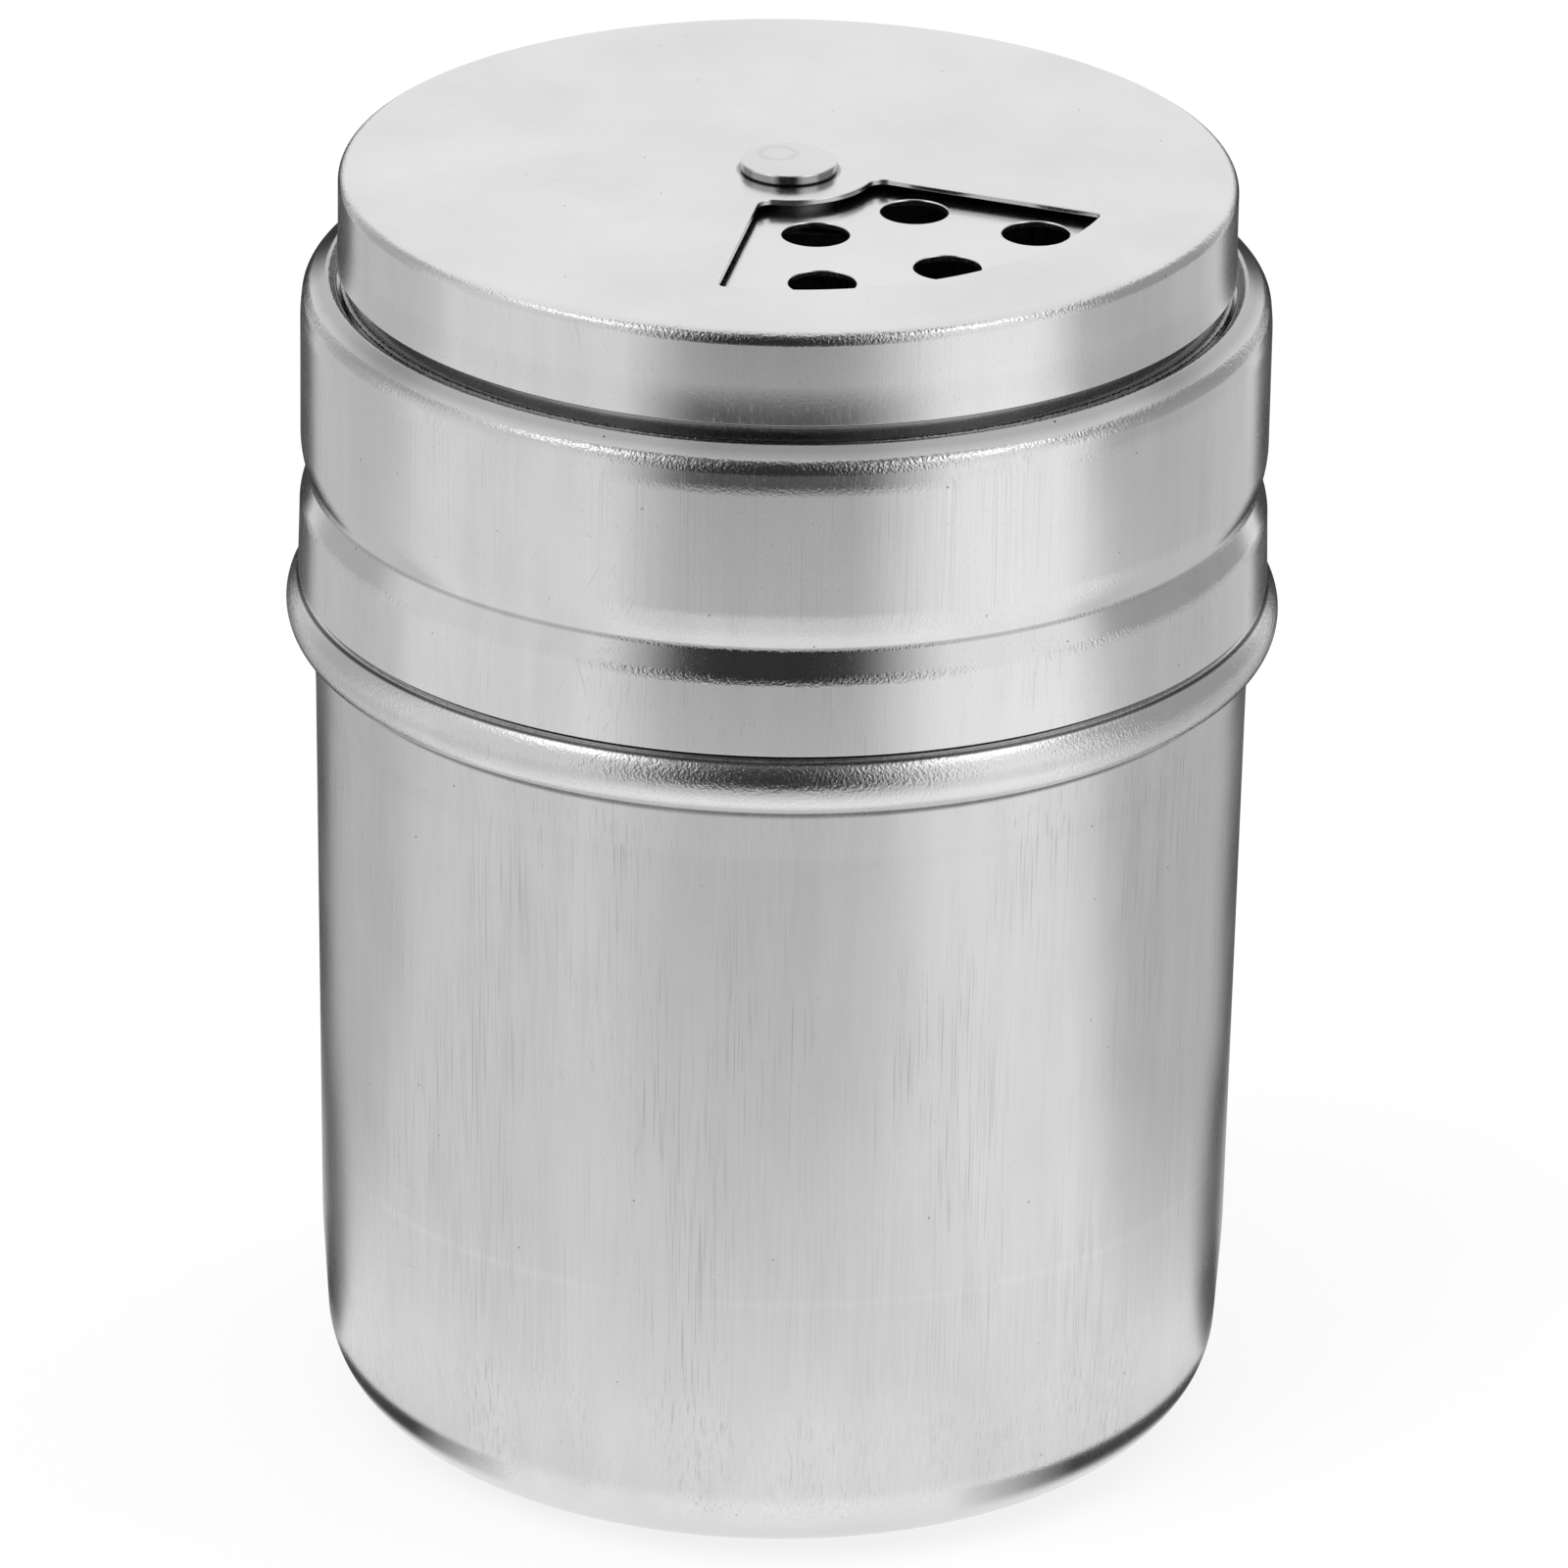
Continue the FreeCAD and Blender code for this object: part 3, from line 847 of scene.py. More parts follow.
    def near_height(self, place: bpy.types.NodeSocket, height: float, width: float) -> bpy.types.NodeSocket:
        """1 at a height in millimetres, easing to 0 at a width above and below it."""
        split = self.node("ShaderNodeSeparateXYZ")
        self.link(place, split.inputs[0])
        away = self.math("ABSOLUTE", self.math("SUBTRACT", split.outputs["Z"], height * MM), 0.0)
        return self.near(away, width)

    def near_shade_ring(self, place: bpy.types.NodeSocket, shade_ring: ShadeRing) -> bpy.types.NodeSocket:
        """1 on a ring of painted shade, easing to 0 at its reach.

        The distance to the ring is the length of two numbers: how far the place's own distance from the axis
        is from the ring's radius, and how far its height is from the ring's height.

        Args:
            place: Object coordinates.
            shade_ring: The ring of painted shade.

        Returns:
            A number from 0 to 1.
        """
        split, from_axis, away = (self.node(kind) for kind in (
            "ShaderNodeSeparateXYZ", "ShaderNodeVectorMath", "ShaderNodeVectorMath"))
        self.link(place, split.inputs[0])
        from_axis.operation = away.operation = "LENGTH"
        self.link(self.scaled(place, (1.0, 1.0, 0.0)), from_axis.inputs[0])
        pair = self.node("ShaderNodeCombineXYZ")
        self.link(self.math("SUBTRACT", from_axis.outputs["Value"], shade_ring.radius * MM), pair.inputs["X"])
        self.link(self.math("SUBTRACT", split.outputs["Z"], shade_ring.height * MM), pair.inputs["Y"])
        self.link(pair.outputs[0], away.inputs[0])
        return self.near(away.outputs["Value"], shade_ring.reach, ease=0.6)

    def ring(self, place: bpy.types.NodeSocket, mark: tuple[float, float, float],
             width: float) -> bpy.types.NodeSocket:
        """1 on a circle seen from above, easing to 0 at a width inside and outside it.

        Args:
            place: Object coordinates.
            mark: The circle's centre and radius, in millimetres.
            width: How far it reaches to each side.

        Returns:
            A number from 0 to 1.
        """
        away = self.node("ShaderNodeVectorMath")
        away.operation = "DISTANCE"
        self.link(self.scaled(place, (1.0, 1.0, 0.0)), away.inputs[0])
        away.inputs[1].default_value = (mark[0] * MM, mark[1] * MM, 0.0)
        off = self.math("ABSOLUTE", self.math("SUBTRACT", away.outputs["Value"], mark[2] * MM), 0.0)
        return self.near(off, width)

    def surface(self, share: bpy.types.NodeSocket, first: bpy.types.Node, second: bpy.types.Node) -> None:
        """Let the surface go from a first to a second shader as the share goes from 0 to 1."""
        mixed = self.node("ShaderNodeMixShader")
        self.link(share, mixed.inputs[0])
        self.link(first.outputs[0], mixed.inputs[1])
        self.link(second.outputs[0], mixed.inputs[2])
        self.link(mixed.outputs[0], self.tree.nodes["Material Output"].inputs["Surface"])


def new_material(name: str) -> tuple[bpy.types.Material, Graph]:
    """A new node material and its graph."""
    material = bpy.data.materials.new(name)
    material.use_nodes = True
    return material, Graph(material.node_tree)


# The shaker's pieces


@dataclass
class Jar:
    """The drawn jar: raised base panel, base corner, drafted wall, bead and plain neck."""

    sheet: float = 0.45
    body_radius: float = 31.0
    body_draft: float = 0.45
    heel_height: float = 12.1
    heel_inset: float = 0.74
    heel_bend: float = 60.0
    base_corner: float = 5.9
    panel_radius: float = 18.0
    panel_rise: float = 0.8
    panel_slope: float = 1.6
    panel_bend: float = 1.0
    bead_height: float = 57.2
    bead_projection: float = 1.93
    bead_radius: float = 2.2
    bead_flank_deg: float = 30.0
    bead_root_bend: float = 0.8
    bead_foot_bend: float = 0.45
    bead_shade: tuple[float, float] = (0.34, 0.38)      # reach and darkness of the painted shade line under the bead
    bead_lead: float = 3.6          # the wall leans out a little over this height below the bead
    bead_lean: float = 0.12
    lead_inset: float = 0.03
    lead_bend: float = 45.0
    neck_radius: float = 30.85
    neck_length: float = 14.0
    finish: Steel = Steel("jar_steel", grey=0.74, wall_grey=0.66, rough=0.20, wall_rough=0.28,
                          bend_rough=0.20, draw_line=19.6)

    @property
    def flank_slope(self) -> float:
        """Rise of the bead's flanks over their run."""
        return math.tan(math.radians(self.bead_flank_deg))

    @property
    def bead_tip(self) -> float:
        """Radius at which the bead's two flanks would meet, beyond its round."""
        beyond = self.bead_radius * (1.0 / math.sin(math.radians(self.bead_flank_deg)) - 1.0)
        return self.body_radius + self.bead_projection + beyond

    @property
    def bead_foot(self) -> Corner:
        """The corner where the wall meets the bead's lower flank."""
        radius = self.body_radius + self.bead_lean
        height = self.bead_height - (self.bead_tip - radius) * self.flank_slope
        return Corner(radius, height, self.bead_foot_bend)

    def flank_height(self, radius: float) -> float:
        """Height of the bead's upper flank at a radius."""
        return self.bead_height + (self.bead_tip - radius) * self.flank_slope

    def outer_line(self) -> list[Corner]:
        """The outside of the jar, from the middle of its base up to its rim."""
        heel = self.body_radius - self.body_draft
        foot = self.bead_foot
        return [
            Corner(0.0, self.panel_rise),
            Corner(self.panel_radius, self.panel_rise, self.panel_bend),
            Corner(self.panel_radius + self.panel_slope, 0.0, self.panel_bend + self.sheet),
            Corner(heel - self.heel_inset, 0.0, self.base_corner),
            Corner(heel, self.heel_height, self.heel_bend),
            Corner(self.body_radius - self.lead_inset, foot.height - self.bead_lead, self.lead_bend),
            foot,
            Corner(self.bead_tip, self.bead_height, self.bead_radius),
            Corner(self.neck_radius, self.flank_height(self.neck_radius), self.bead_root_bend),
            Corner(self.neck_radius, self.bead_height + self.neck_length),
        ]

    def build(self, shade_rings: tuple[ShadeRing, ...]) -> bpy.types.Object:
        """Make the jar and let it stand for its node.

        Args:
            shade_rings: Rings of painted shade where the lid's skirt comes close to it.

        Returns:
            The jar.
        """
        foot = self.bead_foot
        # painted shade: the skirt's two lines on the bead's flank and a line under the bead
        finish = replace(self.finish, shade_rings=(*shade_rings, ShadeRing(foot.radius, foot.height, *self.bead_shade)))
        surface, _, _ = turn_section(sheet_section(self.outer_line(), self.sheet))
        return dress(surface.to_object("jar_shell"), finish, "jar", "jar")


@dataclass
class LidCollar:
    """The drawn lid: deck with its hole stations, riser, ledge, shoulder, band, groove and skirt."""

    jar: Jar
    window: Sector
    sheet: float = 0.40
    neck_fit: float = 0.15
    seat_gap: float = 0.14
    groove_depth: float = 0.57
    groove_upper_run: float = 1.7
    groove_lower_run: float = 1.9
    groove_bend: float = 0.7
    band_lower_bend: float = 6.0
    skirt_upper_bend: float = 3.0
    skirt_step: float = 0.62
    skirt_flare: float = 0.14
    groove_height: float = 7.2
    edge_trim: float = 0.06
    edge_round: float = 0.12
    shoulder_height: float = 20.2
    shoulder_drop: float = 0.26     # the shoulder's corner lies this much below the ledge
    ledge_slope_deg: float = 32.0   # outside its crest, the ledge falls outwards
    crest_radius: float = 30.05
    crest_bend: float = 0.30
    gutter_radius: float = 29.72    # a narrow gutter runs between the crest and the riser's foot
    gutter_bend: float = 0.25
    ledge_shade: ShadeRing = ShadeRing(29.9, 0.75, 2.4, 0.42)     # painted shade on the ledge under the cap's edge; its height is counted from the ledge
    shoulder_bend: float = 1.25
    shoulder_lead: float = 1.9      # from the frame's ledge down to where the band is upright
    shoulder_lead_bend: float = 8.0
    shoulder_inset: float = 0.17
    riser_radius: float = 28.9
    riser_height: float = 7.02
    riser_foot_bend: float = 0.4
    deck_bend: float = 1.2
    shade_ring_step: float = 0.45         # a second painted shade line lies this far outside the skirt's own
    near_shade: tuple[float, float] = (0.20, 0.85)      # reach and darkness of the skirt's own painted shade line
    far_shade: tuple[float, float] = (0.13, 0.30)       # and of the second one
    first_station_deg: float = -55.7
    large_radius: float = 2.2
    large_outer: tuple[float, int] = (8.6, 3)           # chord between neighbours, and how many there are
    large_inner: tuple[float, int] = (7.75, 2)
    large_outer_inset: float = 1.1  # metal between the window's outer arc and the holes
    large_inner_inset: float = 1.85
    small_radius: float = 1.1
    small_counts: tuple[int, ...] = (3, 4, 5)
    small_pitch: float = 4.4
    small_inset: float = 2.0
    mouth_inset: float = 2.0
    mouth_corner: float = 2.0
    shank_hole: float = 1.53
    plate_radius: float = 24.0
    finish: Steel = Steel("lid_steel", grey=0.74, wall_grey=0.74, rough=0.17, wall_rough=0.22,
                          bend_rough=0.13, streak_tone=0.12, hair_tone=0.10)

    @property
    def edge_z(self) -> float:
        """Height of the skirt's lower edge, seated just above the bead's flank."""
        return self.jar.flank_height(self.skirt_edge_radius - self.sheet) + self.seat_gap

    @property
    def groove_radius(self) -> float:
        """Outside of the groove that grips the neck."""
        return self.jar.neck_radius + self.neck_fit + self.sheet

    @property
    def skirt_edge_radius(self) -> float:
        """Outside of the skirt at its edge."""
        return self.groove_radius + self.skirt_step + self.skirt_flare

    @property
    def ledge_z(self) -> float:
        """Height of the ledge round the riser."""
        return self.edge_z + self.shoulder_height

    @property
    def deck_z(self) -> float:
        """Height of the deck's upper face."""
        return self.ledge_z + self.riser_height

    def outer_line(self) -> list[Corner]:
        """The outside of the collar, from its edge up to the deck's plate."""
        groove_z = self.edge_z + self.groove_height
        band = self.groove_radius + self.groove_depth
        flare = self.skirt_flare * self.edge_trim / (self.groove_height - self.groove_lower_run)
        shoulder = band - self.shoulder_inset
        fall = (shoulder - self.crest_radius) * math.tan(math.radians(self.ledge_slope_deg))
        crest_z = self.ledge_z - self.shoulder_drop + fall
        skirt = self.groove_radius + self.skirt_step
        return [
            Corner(self.skirt_edge_radius - flare, self.edge_z + self.edge_trim),
            Corner(skirt, groove_z - self.groove_lower_run, self.skirt_upper_bend),
            Corner(self.groove_radius, groove_z, self.groove_bend),
            Corner(band, groove_z + self.groove_upper_run, self.band_lower_bend),
            Corner(band, self.ledge_z - self.shoulder_lead, self.shoulder_lead_bend),
            Corner(shoulder, self.ledge_z - self.shoulder_drop, self.shoulder_bend),
            Corner(self.crest_radius, crest_z, self.crest_bend),
            Corner(self.gutter_radius, self.ledge_z, self.gutter_bend),
            Corner(self.riser_radius, self.ledge_z, self.riser_foot_bend),
            Corner(self.riser_radius, self.deck_z, self.deck_bend),
            Corner(self.plate_radius, self.deck_z),
        ]

    def skirt_shade_rings(self) -> tuple[ShadeRing, ...]:
        """The two painted shade lines on the bead, where the skirt's edge nears it."""
        near, far = self.skirt_edge_radius, self.skirt_edge_radius + self.shade_ring_step
        return (ShadeRing(near, self.jar.flank_height(near), *self.near_shade),
                ShadeRing(far, self.jar.flank_height(far), *self.far_shade))

    def large_holes(self) -> list[Loop]:
        """The station of large shaking holes: three outer and two inner."""
        outer = self.window.outer - self.large_outer_inset - self.large_radius
        inner = self.window.inner + self.large_inner_inset + self.large_radius
        return (self.row(outer, self.large_radius, *self.large_outer, self.first_station_deg)
                + self.row(inner, self.large_radius, *self.large_inner, self.first_station_deg))

    def small_holes(self) -> list[Loop]:
        """The station of small shaking holes, in rows of three, four and five."""
        first = self.window.inner + self.small_inset + self.small_radius
        last = self.window.outer - self.small_inset - self.small_radius
        middle = self.first_station_deg + 90.0
        radii = np.linspace(first, last, len(self.small_counts))
        return [loop for radius, count in zip(radii, self.small_counts)
                for loop in self.row(float(radius), self.small_radius, self.small_pitch, count, middle)]

    def pouring_mouth(self) -> Loop:
        """The pouring mouth, inside the window's outline by the same margin all round."""
        window, margin = self.window, self.mouth_inset
        setback = window.setback - margin / math.sin(math.radians(window.half_deg))
        return Sector(window.inner + margin, window.outer - margin, window.half_deg, setback,
                      self.mouth_corner, self.mouth_corner, self.first_station_deg + 180.0).loop()

    @staticmethod
    def row(radius: float, hole: float, pitch: float, count: int, middle_deg: float) -> list[Loop]:
        """Round holes on an arc about the pivot, a chord of one pitch apart.

        Args:
            radius: The arc's radius.
            hole: The holes' radius.
            pitch: The chord between neighbours.
            count: How many.
            middle_deg: Direction of the row's middle.

        Returns:
            The holes' outlines.
        """
        step = 2.0 * math.asin(pitch / 2.0 / radius)
        first = math.radians(middle_deg) - step * (count - 1) / 2.0
        return [round_hole(hole, radius * math.cos(first + step * k), radius * math.sin(first + step * k))
                for k in range(count)]

    def build(self) -> bpy.types.Object:
        """Make the collar and let it stand for its node.

        Returns:
            The collar.
        """
        surface, under, top = turn_lid(self.outer_line(), self.sheet, self.edge_round)
        loops = [round_hole(self.shank_hole), *self.large_holes(), *self.small_holes(), self.pouring_mouth()]
        punch_holes(surface, loops, top, under, Punch())
        # painted shade on the ledge under the cap's edge
        shade = replace(self.ledge_shade, height=self.ledge_z + self.ledge_shade.height)
        finish = replace(self.finish, shade_rings=(shade,))
        return dress(surface.to_object("lid_shell"), finish, "lid_collar", "lid")


@dataclass
class DialCap:
    """The turning cap: flat top with the window, bend and skirt."""

    lid: LidCollar
    window: Sector
    sheet: float = 0.35
    side_clearance: float = 0.25
    deck_gap: float = 0.50
    skirt_gap: float = 1.40
    bend: float = 0.85
    pivot_hole: float = 1.56
    edge_trim: float = 0.20
    edge_round: float = 0.12
    lip_height: float = 1.6         # the lowest part of the skirt leans out
    lip_lean: float = 0.14
    lip_bend: float = 26.0
    head_shade_radius: float = 3.16         # radius of the rivet's head, round which painted shade darkens the cap
    head_shade: tuple[float, float] = (0.35, 0.6)       # reach and darkness of that painted shade
    plate_radius: float = 25.0
    finish: Steel = Steel("cap_steel", grey=0.72, wall_grey=0.74, rough=0.20, wall_rough=0.24,
                          bend_rough=0.15, streak_tone=0.06, hair_tone=0.04, cloud_tone=0.24)

    @property
    def top_z(self) -> float:
        """Height of the cap's upper face."""
        return self.lid.deck_z + self.deck_gap + self.sheet

    def build(self) -> bpy.types.Object:
        """Make the cap and let it stand for its node.

        Returns:
            The cap.
        """
        radius = self.lid.riser_radius + self.side_clearance + self.sheet
        edge_z = self.lid.ledge_z + self.skirt_gap + self.edge_trim
        outer = [
            Corner(radius + self.lip_lean, edge_z),
            Corner(radius, edge_z + self.lip_height, self.lip_bend),
            Corner(radius, self.top_z, self.bend),
            Corner(self.plate_radius, self.top_z),
        ]
        surface, under, top = turn_lid(outer, self.sheet, self.edge_round)
        punch_holes(surface, [round_hole(self.pivot_hole), self.window.loop()], top, under, Punch())
        # painted shade on the cap round the rivet's head
        finish = replace(self.finish, shade_rings=(ShadeRing(self.head_shade_radius, self.top_z, *self.head_shade),))
        return dress(surface.to_object("cap_shell"), finish, "dial_cap", "dial")


@dataclass
class Pivot:
    """The rivet that the cap turns on, and the two washers, which stay as the frame holds them."""

    cap: DialCap
    shank: float = 1.5
    head: float = 3.16
    head_thickness: float = 0.67
    dome: float = 0.05
    head_edge: float = 0.14
    tail: float = 2.7
    tail_thickness: float = 0.9
    tail_edge: float = 0.4
    sharp: float = 0.05             # round of the edges that don't show
    face_clearance: float = 0.04
    crown_share: float = 0.55       # the dome flattens inside this share of the head's radius
    crown_rise: float = 0.75        # and at this share of its own height
    crown_bend: float = 8.0
    head_shade: tuple[float, float] = (0.16, 0.7)       # reach and darkness of the painted shade line under the head
    finish: Steel = Steel("rivet_steel", grey=0.68, wall_grey=0.46, rough=0.18, wall_rough=0.12,
                          bend_rough=0.12, grain_depth=3.0, flat_depth=1.0, cloud_tone=0.3,
                          forge_mark=(-0.72, 1.0, 1.2), wear=Wear.USED)
    washer_finish: Steel = Steel("washer_steel", grey=0.62, wall_grey=0.62, rough=0.32, wall_rough=0.32,
                                 bend_rough=0.32)

    def build(self) -> bpy.types.Object:
        """Make the rivet, and dress the washers.

        Returns:
            The rivet.
        """
        seat = self.cap.top_z + self.face_clearance
        tail_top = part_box("pivot_rivet")[0].z / MM + self.tail_thickness
        tail_end = tail_top - self.tail_thickness
        rim_z = seat + self.head_thickness
        line = [
            Corner(0.0, tail_end),
            Corner(self.tail, tail_end, self.tail_edge),
            Corner(self.tail, tail_top, self.sharp),
            Corner(self.shank, tail_top, self.sharp),
            Corner(self.shank, seat, self.sharp),
            Corner(self.head, seat, self.sharp),
            Corner(self.head, rim_z, self.head_edge),
            Corner(self.head * self.crown_share, rim_z + self.dome * self.crown_rise, self.crown_bend),
            Corner(0.0, rim_z + self.dome),
        ]
        surface, _, _ = turn_section(line)
        # painted shade along the foot of the rivet's head
        finish = replace(self.finish, shade_rings=(ShadeRing(self.head, seat, *self.head_shade),))
        piece = dress(surface.to_object("rivet_shell"), finish, "pivot_rivet", "lid")
        washer = self.washer_finish.build()
        for name in ("spacer_washer", "spring_washer"):
            put_on(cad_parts[name], washer)
        return piece


def put_on(piece: bpy.types.Object, material: bpy.types.Material) -> None:
    """Give a piece one material in every slot."""
    if not piece.material_slots:
        piece.data.materials.append(material)
    for held in piece.material_slots:
        held.material = material


def dress(piece: bpy.types.Object, finish: Steel, node: str, body: str) -> bpy.types.Object:
    """Give a piece its finish, hide the node that it stands for, and hang it on the body that it rides on.

    Args:
        piece: The new piece.
        finish: Its finish.
        node: The node that it replaces.
        body: The body that it rides on.

    Returns:
        The same piece.
    """
    put_on(piece, finish.build())
    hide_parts(node)
    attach(piece, body)
    LOG.info("%s: %d faces, rides on %s", piece.name, len(piece.data.polygons), body)
    return piece


# The studio


@dataclass(frozen=True)
class Card:
    """A photographer's card that only reflections show: standing, lying on the floor or overhead.

    Directions are degrees about the axis, 0 towards the camera and positive to its right. From its near to
    its far edge the card runs straight from one distance and height to another, in metres.
    """

    name: str
    direction: tuple[float, float]
    distance: tuple[float, float]
    height: tuple[float, float]
    shade: float                    # its brightness, 1 is white
    soft: float = 12.0              # degrees over which its two sides fade out
    near_fade: float = 0.0          # share of its run that fades in at the near or lower edge
    far_fade: float = 0.0           # the same at the far or upper edge
    far_direction: tuple[float, float] | None = None

    def build(self) -> bpy.types.Object:
        """Make the card.

        Returns:
            The card.
        """
        across, along = 32, 4
        u, v = np.meshgrid(np.linspace(0.0, 1.0, across + 1), np.linspace(0.0, 1.0, along + 1))
        near = self.direction[0] + (self.direction[1] - self.direction[0]) * u
        end = self.far_direction or self.direction
        angle = np.radians(near + (end[0] + (end[1] - end[0]) * u - near) * v)
        away = self.distance[0] + (self.distance[1] - self.distance[0]) * v
        rise = self.height[0] + (self.height[1] - self.height[0]) * v
        points = np.stack([away * np.sin(angle), -away * np.cos(angle), rise], axis=-1).reshape(-1, 3)
        first = (np.arange(along)[:, None] * (across + 1) + np.arange(across)).ravel()
        faces = np.stack([first, first + 1, first + across + 2, first + across + 1], axis=1)
        mesh = bpy.data.meshes.new(self.name)
        mesh.from_pydata(points.tolist(), [], faces.tolist())
        sheet = mesh.uv_layers.new(name="card")
        corner_uv = np.stack([u.ravel()[faces], v.ravel()[faces]], axis=-1)
        sheet.data.foreach_set("uv", corner_uv.astype(np.float32).ravel())
        mesh.materials.append(self._shade())
        card = add_object(self.name, mesh)
        card.visible_camera = False
        card.visible_diffuse = False
        card.visible_shadow = False
        return card

    def _shade(self) -> bpy.types.Material:
        """The card's brightness, see-through where its edges fade out.

        Returns:
            The material.
        """
        material, graph = new_material(self.name + "_shade")
        graph.tree.nodes.remove(graph.tree.nodes["Principled BSDF"])
        split = graph.node("ShaderNodeSeparateXYZ")
        graph.link(graph.node("ShaderNodeTexCoord").outputs["UV"], split.inputs[0])
        u, v = split.outputs["X"], split.outputs["Y"]
        width = abs(self.direction[1] - self.direction[0])
        solid = graph.product(graph.ramp(u, self.soft / width),
                              graph.ramp(graph.math("SUBTRACT", 1.0, u), self.soft / width))
        if self.near_fade:
            solid = graph.product(solid, graph.ramp(v, self.near_fade))
        if self.far_fade:
            solid = graph.product(solid, graph.ramp(graph.math("SUBTRACT", 1.0, v), self.far_fade))
        emission = graph.node("ShaderNodeEmission")
        emission.inputs["Color"].default_value = (self.shade, self.shade, self.shade, 1.0)
        graph.surface(solid, graph.node("ShaderNodeBsdfTransparent"), emission)
        return material


@dataclass
class Studio:
    """Pale floor, even white surroundings, soft lamps, the cards and the camera. Lengths are metres."""

    floor_size: float = 4.0
    floor_grey: float = 0.94
    floor_white: float = 0.75       # share of even white in the floor as seen; the rest is lit and shaded
    world_level: float = 0.86       # the surroundings as light; where they are seen, they are white
    lamp_size: float = 0.8
    lamp_aim: tuple[float, float, float] = (0.0, 0.0, 0.05)
    lens: float = 274.5
    distance: float = 0.800
    pitch_deg: float = 23.63
    roll_deg: float = 0.9
    aim: tuple[float, float, float] = (0.00032, 0.0, 0.04346)
    cards: tuple[Card, ...] = (
        Card("front_card", (-41.0, 37.0), (0.27, 0.27), (0.0, 0.45), 0.03, 20.0),
        Card("front_canopy", (-90.0, 90.0), (0.27, 0.10), (0.45, 0.45), 0.10, 45.0, far_fade=0.15),
        Card("overhead_card", (-180.0, 180.0), (0.001, 0.10), (0.46, 0.46), 0.66, 0.01, far_fade=0.3),
        Card("right_card", (69.0, 138.0), (0.36, 0.36), (0.0, 0.45), 0.38, 9.0, far_fade=0.2),
        Card("left_card", (-142.0, -90.0), (0.36, 0.36), (0.0, 0.45), 0.50, 12.0, far_fade=0.2),
        Card("left_front_card", (-97.0, -38.0), (0.38, 0.38), (0.0, 0.45), 0.78, 8.0, far_fade=0.2),
        Card("front_mat", (-46.0, 37.0), (0.045, 0.27), (0.0004, 0.0004), 0.74, 20.0, near_fade=0.24),
        Card("front_far_mat", (-40.0, 33.0), (0.163, 0.27), (0.0010, 0.0010), 0.48, 20.0, near_fade=0.3,
             far_fade=0.5),
        Card("right_mat", (70.0, 142.0), (0.042, 0.36), (0.0005, 0.0005), 0.62, 12.0, near_fade=0.1),
        Card("right_far_mat", (66.0, 118.0), (0.16, 0.36), (0.0011, 0.0011), 0.54, 9.0, near_fade=0.2),
        Card("left_mat", (-146.0, -84.0), (0.042, 0.36), (0.0006, 0.0006), 0.62, 12.0, near_fade=0.1),
        Card("left_front_mat", (-96.0, -34.0), (0.042, 0.36), (0.0009, 0.0009), 0.82, 14.0, near_fade=0.1),
        Card("right_glint", (42.0, 76.0), (0.32, 0.20), (0.31, 0.44), 2.4, 10.0, near_fade=0.3,
             far_fade=0.3),
        Card("left_glint", (-76.0, -42.0), (0.32, 0.20), (0.31, 0.44), 2.2, 10.0, near_fade=0.3,
             far_fade=0.3),
        Card("right_flag", (124.0, 156.0), (0.078, 0.078), (0.0, 0.092), 0.04, 4.0, far_fade=0.1),
        Card("left_flag", (-156.0, -124.0), (0.078, 0.078), (0.0, 0.092), 0.04, 4.0, far_fade=0.1),
        Card("right_floor_flag", (89.0, 108.0), (0.033, 0.078), (0.0007, 0.0007), 0.04, 3.0,
             far_direction=(124.0, 156.0)),
        Card("left_floor_flag", (-108.0, -89.0), (0.033, 0.078), (0.0008, 0.0008), 0.04, 3.0,
             far_direction=(-156.0, -124.0)),
        # painted shadow: dark cards under the jar's overhang, which reflections show in place of the floor's
        # contact shadow
        Card("right_foot_shadow_card", (26.0, 108.0), (0.0283, 0.033), (0.0002, 0.0006), 0.06, 22.0,
             near_fade=0.3),
        Card("left_foot_shadow_card", (-108.0, -38.0), (0.0283, 0.033), (0.0002, 0.0006), 0.06, 22.0,
             near_fade=0.3),
    )

    def build(self) -> None:
        """Make the floor, world, lamps, cards and camera."""
        self._floor()
        self._world()
        self._lamp("key_lamp", (-0.55, -0.35, 0.9), power=4.4)
        self._lamp("fill_lamp", (0.7, 0.2, 0.8), power=3.2)
        for card in self.cards:
            card.build()
        self._camera()
        settings = bpy.context.scene.view_settings
        settings.view_transform = "Standard"

    def _floor(self) -> None:
        """A plain pale floor at the height of the jar's foot."""
        half = self.floor_size / 2.0
        mesh = bpy.data.meshes.new("floor")
        mesh.from_pydata([(-half, -half, 0), (half, -half, 0), (half, half, 0), (-half, half, 0)], [],
                         [(0, 1, 2, 3)])
        material, graph = new_material("pale_floor")
        mesh.materials.append(material)
        shader = graph.tree.nodes["Principled BSDF"]
        shader.inputs["Base Color"].default_value = (self.floor_grey, self.floor_grey, self.floor_grey, 1.0)
        shader.inputs["Roughness"].default_value = 1.0
        shader.inputs["Specular IOR Level"].default_value = 0.0
        even = graph.node("ShaderNodeEmission")
        graph.surface(graph.math("MULTIPLY", graph.seen(), self.floor_white), shader, even)
        add_object("floor", mesh)

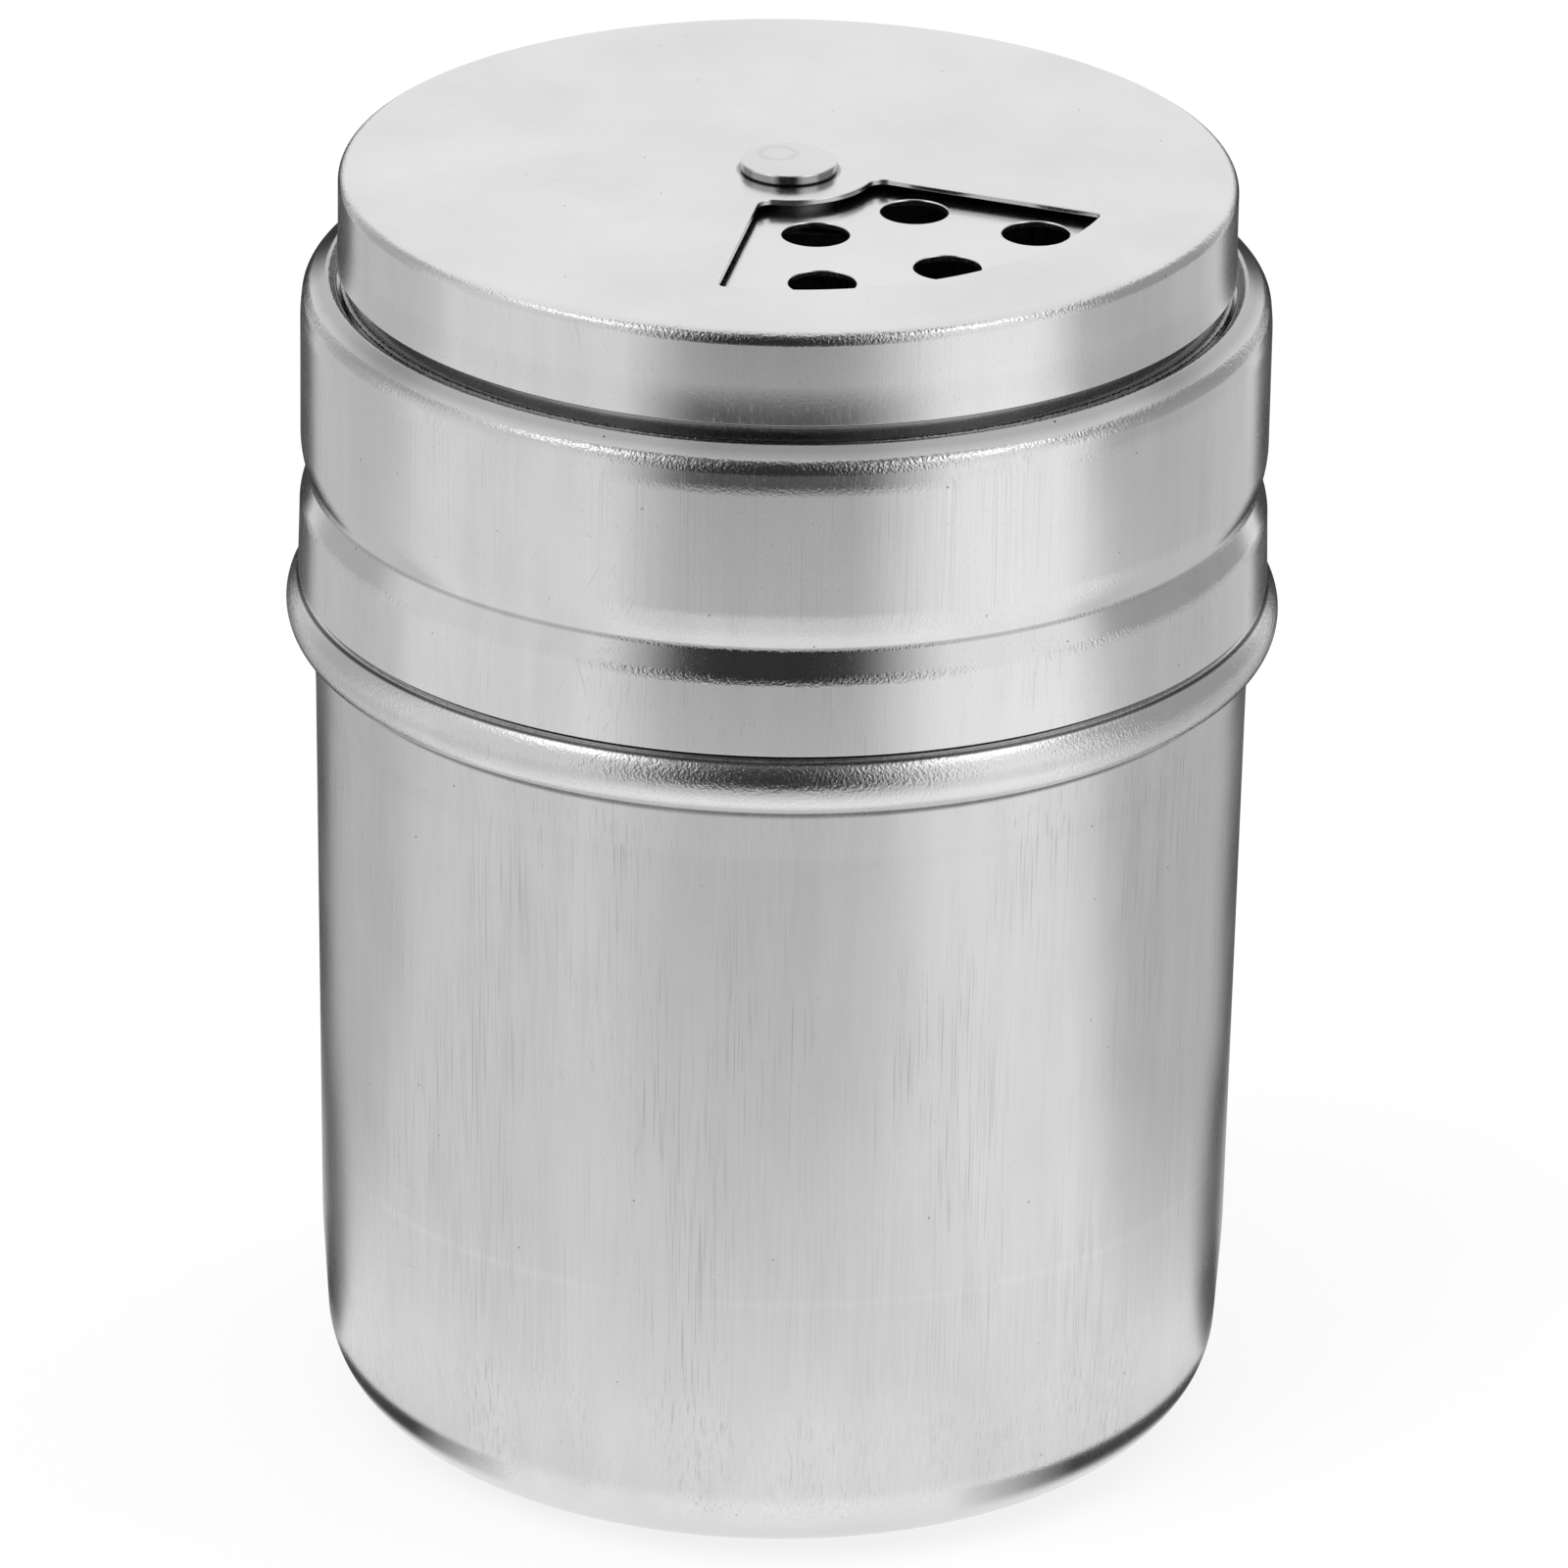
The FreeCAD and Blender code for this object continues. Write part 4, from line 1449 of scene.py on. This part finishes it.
    def _world(self) -> None:
        """Even white surroundings: full white where the camera and reflections see them."""
        world = bpy.data.worlds.new("studio")
        bpy.context.scene.world = world
        world.use_nodes = True
        graph = Graph(world.node_tree)
        back = graph.tree.nodes["Background"]
        back.inputs["Color"].default_value = (1.0, 1.0, 1.0, 1.0)
        graph.link(graph.blend(self.world_level, 1.0, graph.seen()), back.inputs["Strength"])

    def _lamp(self, name: str, place: tuple[float, float, float], power: float) -> None:
        """A soft square lamp that looks at the shaker.

        Args:
            name: The lamp's name.
            place: Where it hangs, in metres.
            power: Its power, in watts.
        """
        light = bpy.data.lights.new(name, "AREA")
        light.size = self.lamp_size
        light.energy = power
        lamp = add_object(name, light)
        lamp.visible_glossy = False
        lamp.location = place
        lamp.rotation_euler = (Vector(self.lamp_aim) - Vector(place)).to_track_quat("-Z", "Y").to_euler()

    def _camera(self) -> None:
        """The camera at the photograph's viewing angle.

        It looks along (0, cos p, -sin p) for the pitch p, stands the distance behind its aim, and is turned
        about its own line of sight by the roll.
        """
        pitch, roll = math.radians(self.pitch_deg), math.radians(self.roll_deg)
        ahead = Vector((0.0, math.cos(pitch), -math.sin(pitch)))
        right = Vector((1.0, 0.0, 0.0))
        up = right.cross(ahead)
        turned_right = right * math.cos(roll) + up * math.sin(roll)
        turned_up = up * math.cos(roll) - right * math.sin(roll)
        place = Vector(self.aim) - ahead * self.distance
        data = bpy.data.cameras.new("camera")
        data.sensor_fit = "HORIZONTAL"
        data.sensor_width = 36.0
        data.lens = self.lens
        data.clip_start, data.clip_end = 0.01, 20.0
        camera = add_object("camera", data)
        turn = Matrix((turned_right, turned_up, -ahead)).transposed()
        camera.matrix_world = Matrix.Translation(place) @ turn.to_4x4()
        bpy.context.scene.camera = camera


def main() -> None:
    """Build the shaker's pieces and the studio."""
    logging.basicConfig(level=logging.INFO)
    window = Sector(inner=5.65, outer=21.6, half_deg=38.9, setback=1.45, corner=0.6, hub_corner=1.1,
                    middle_deg=-60.6)
    jar = Jar()
    lid = LidCollar(jar, window)
    jar.build(lid.skirt_shade_rings())
    lid.build()
    cap = DialCap(lid, window)
    cap.build()
    Pivot(cap).build()
    Studio().build()


if __name__ == "__main__":
    main()
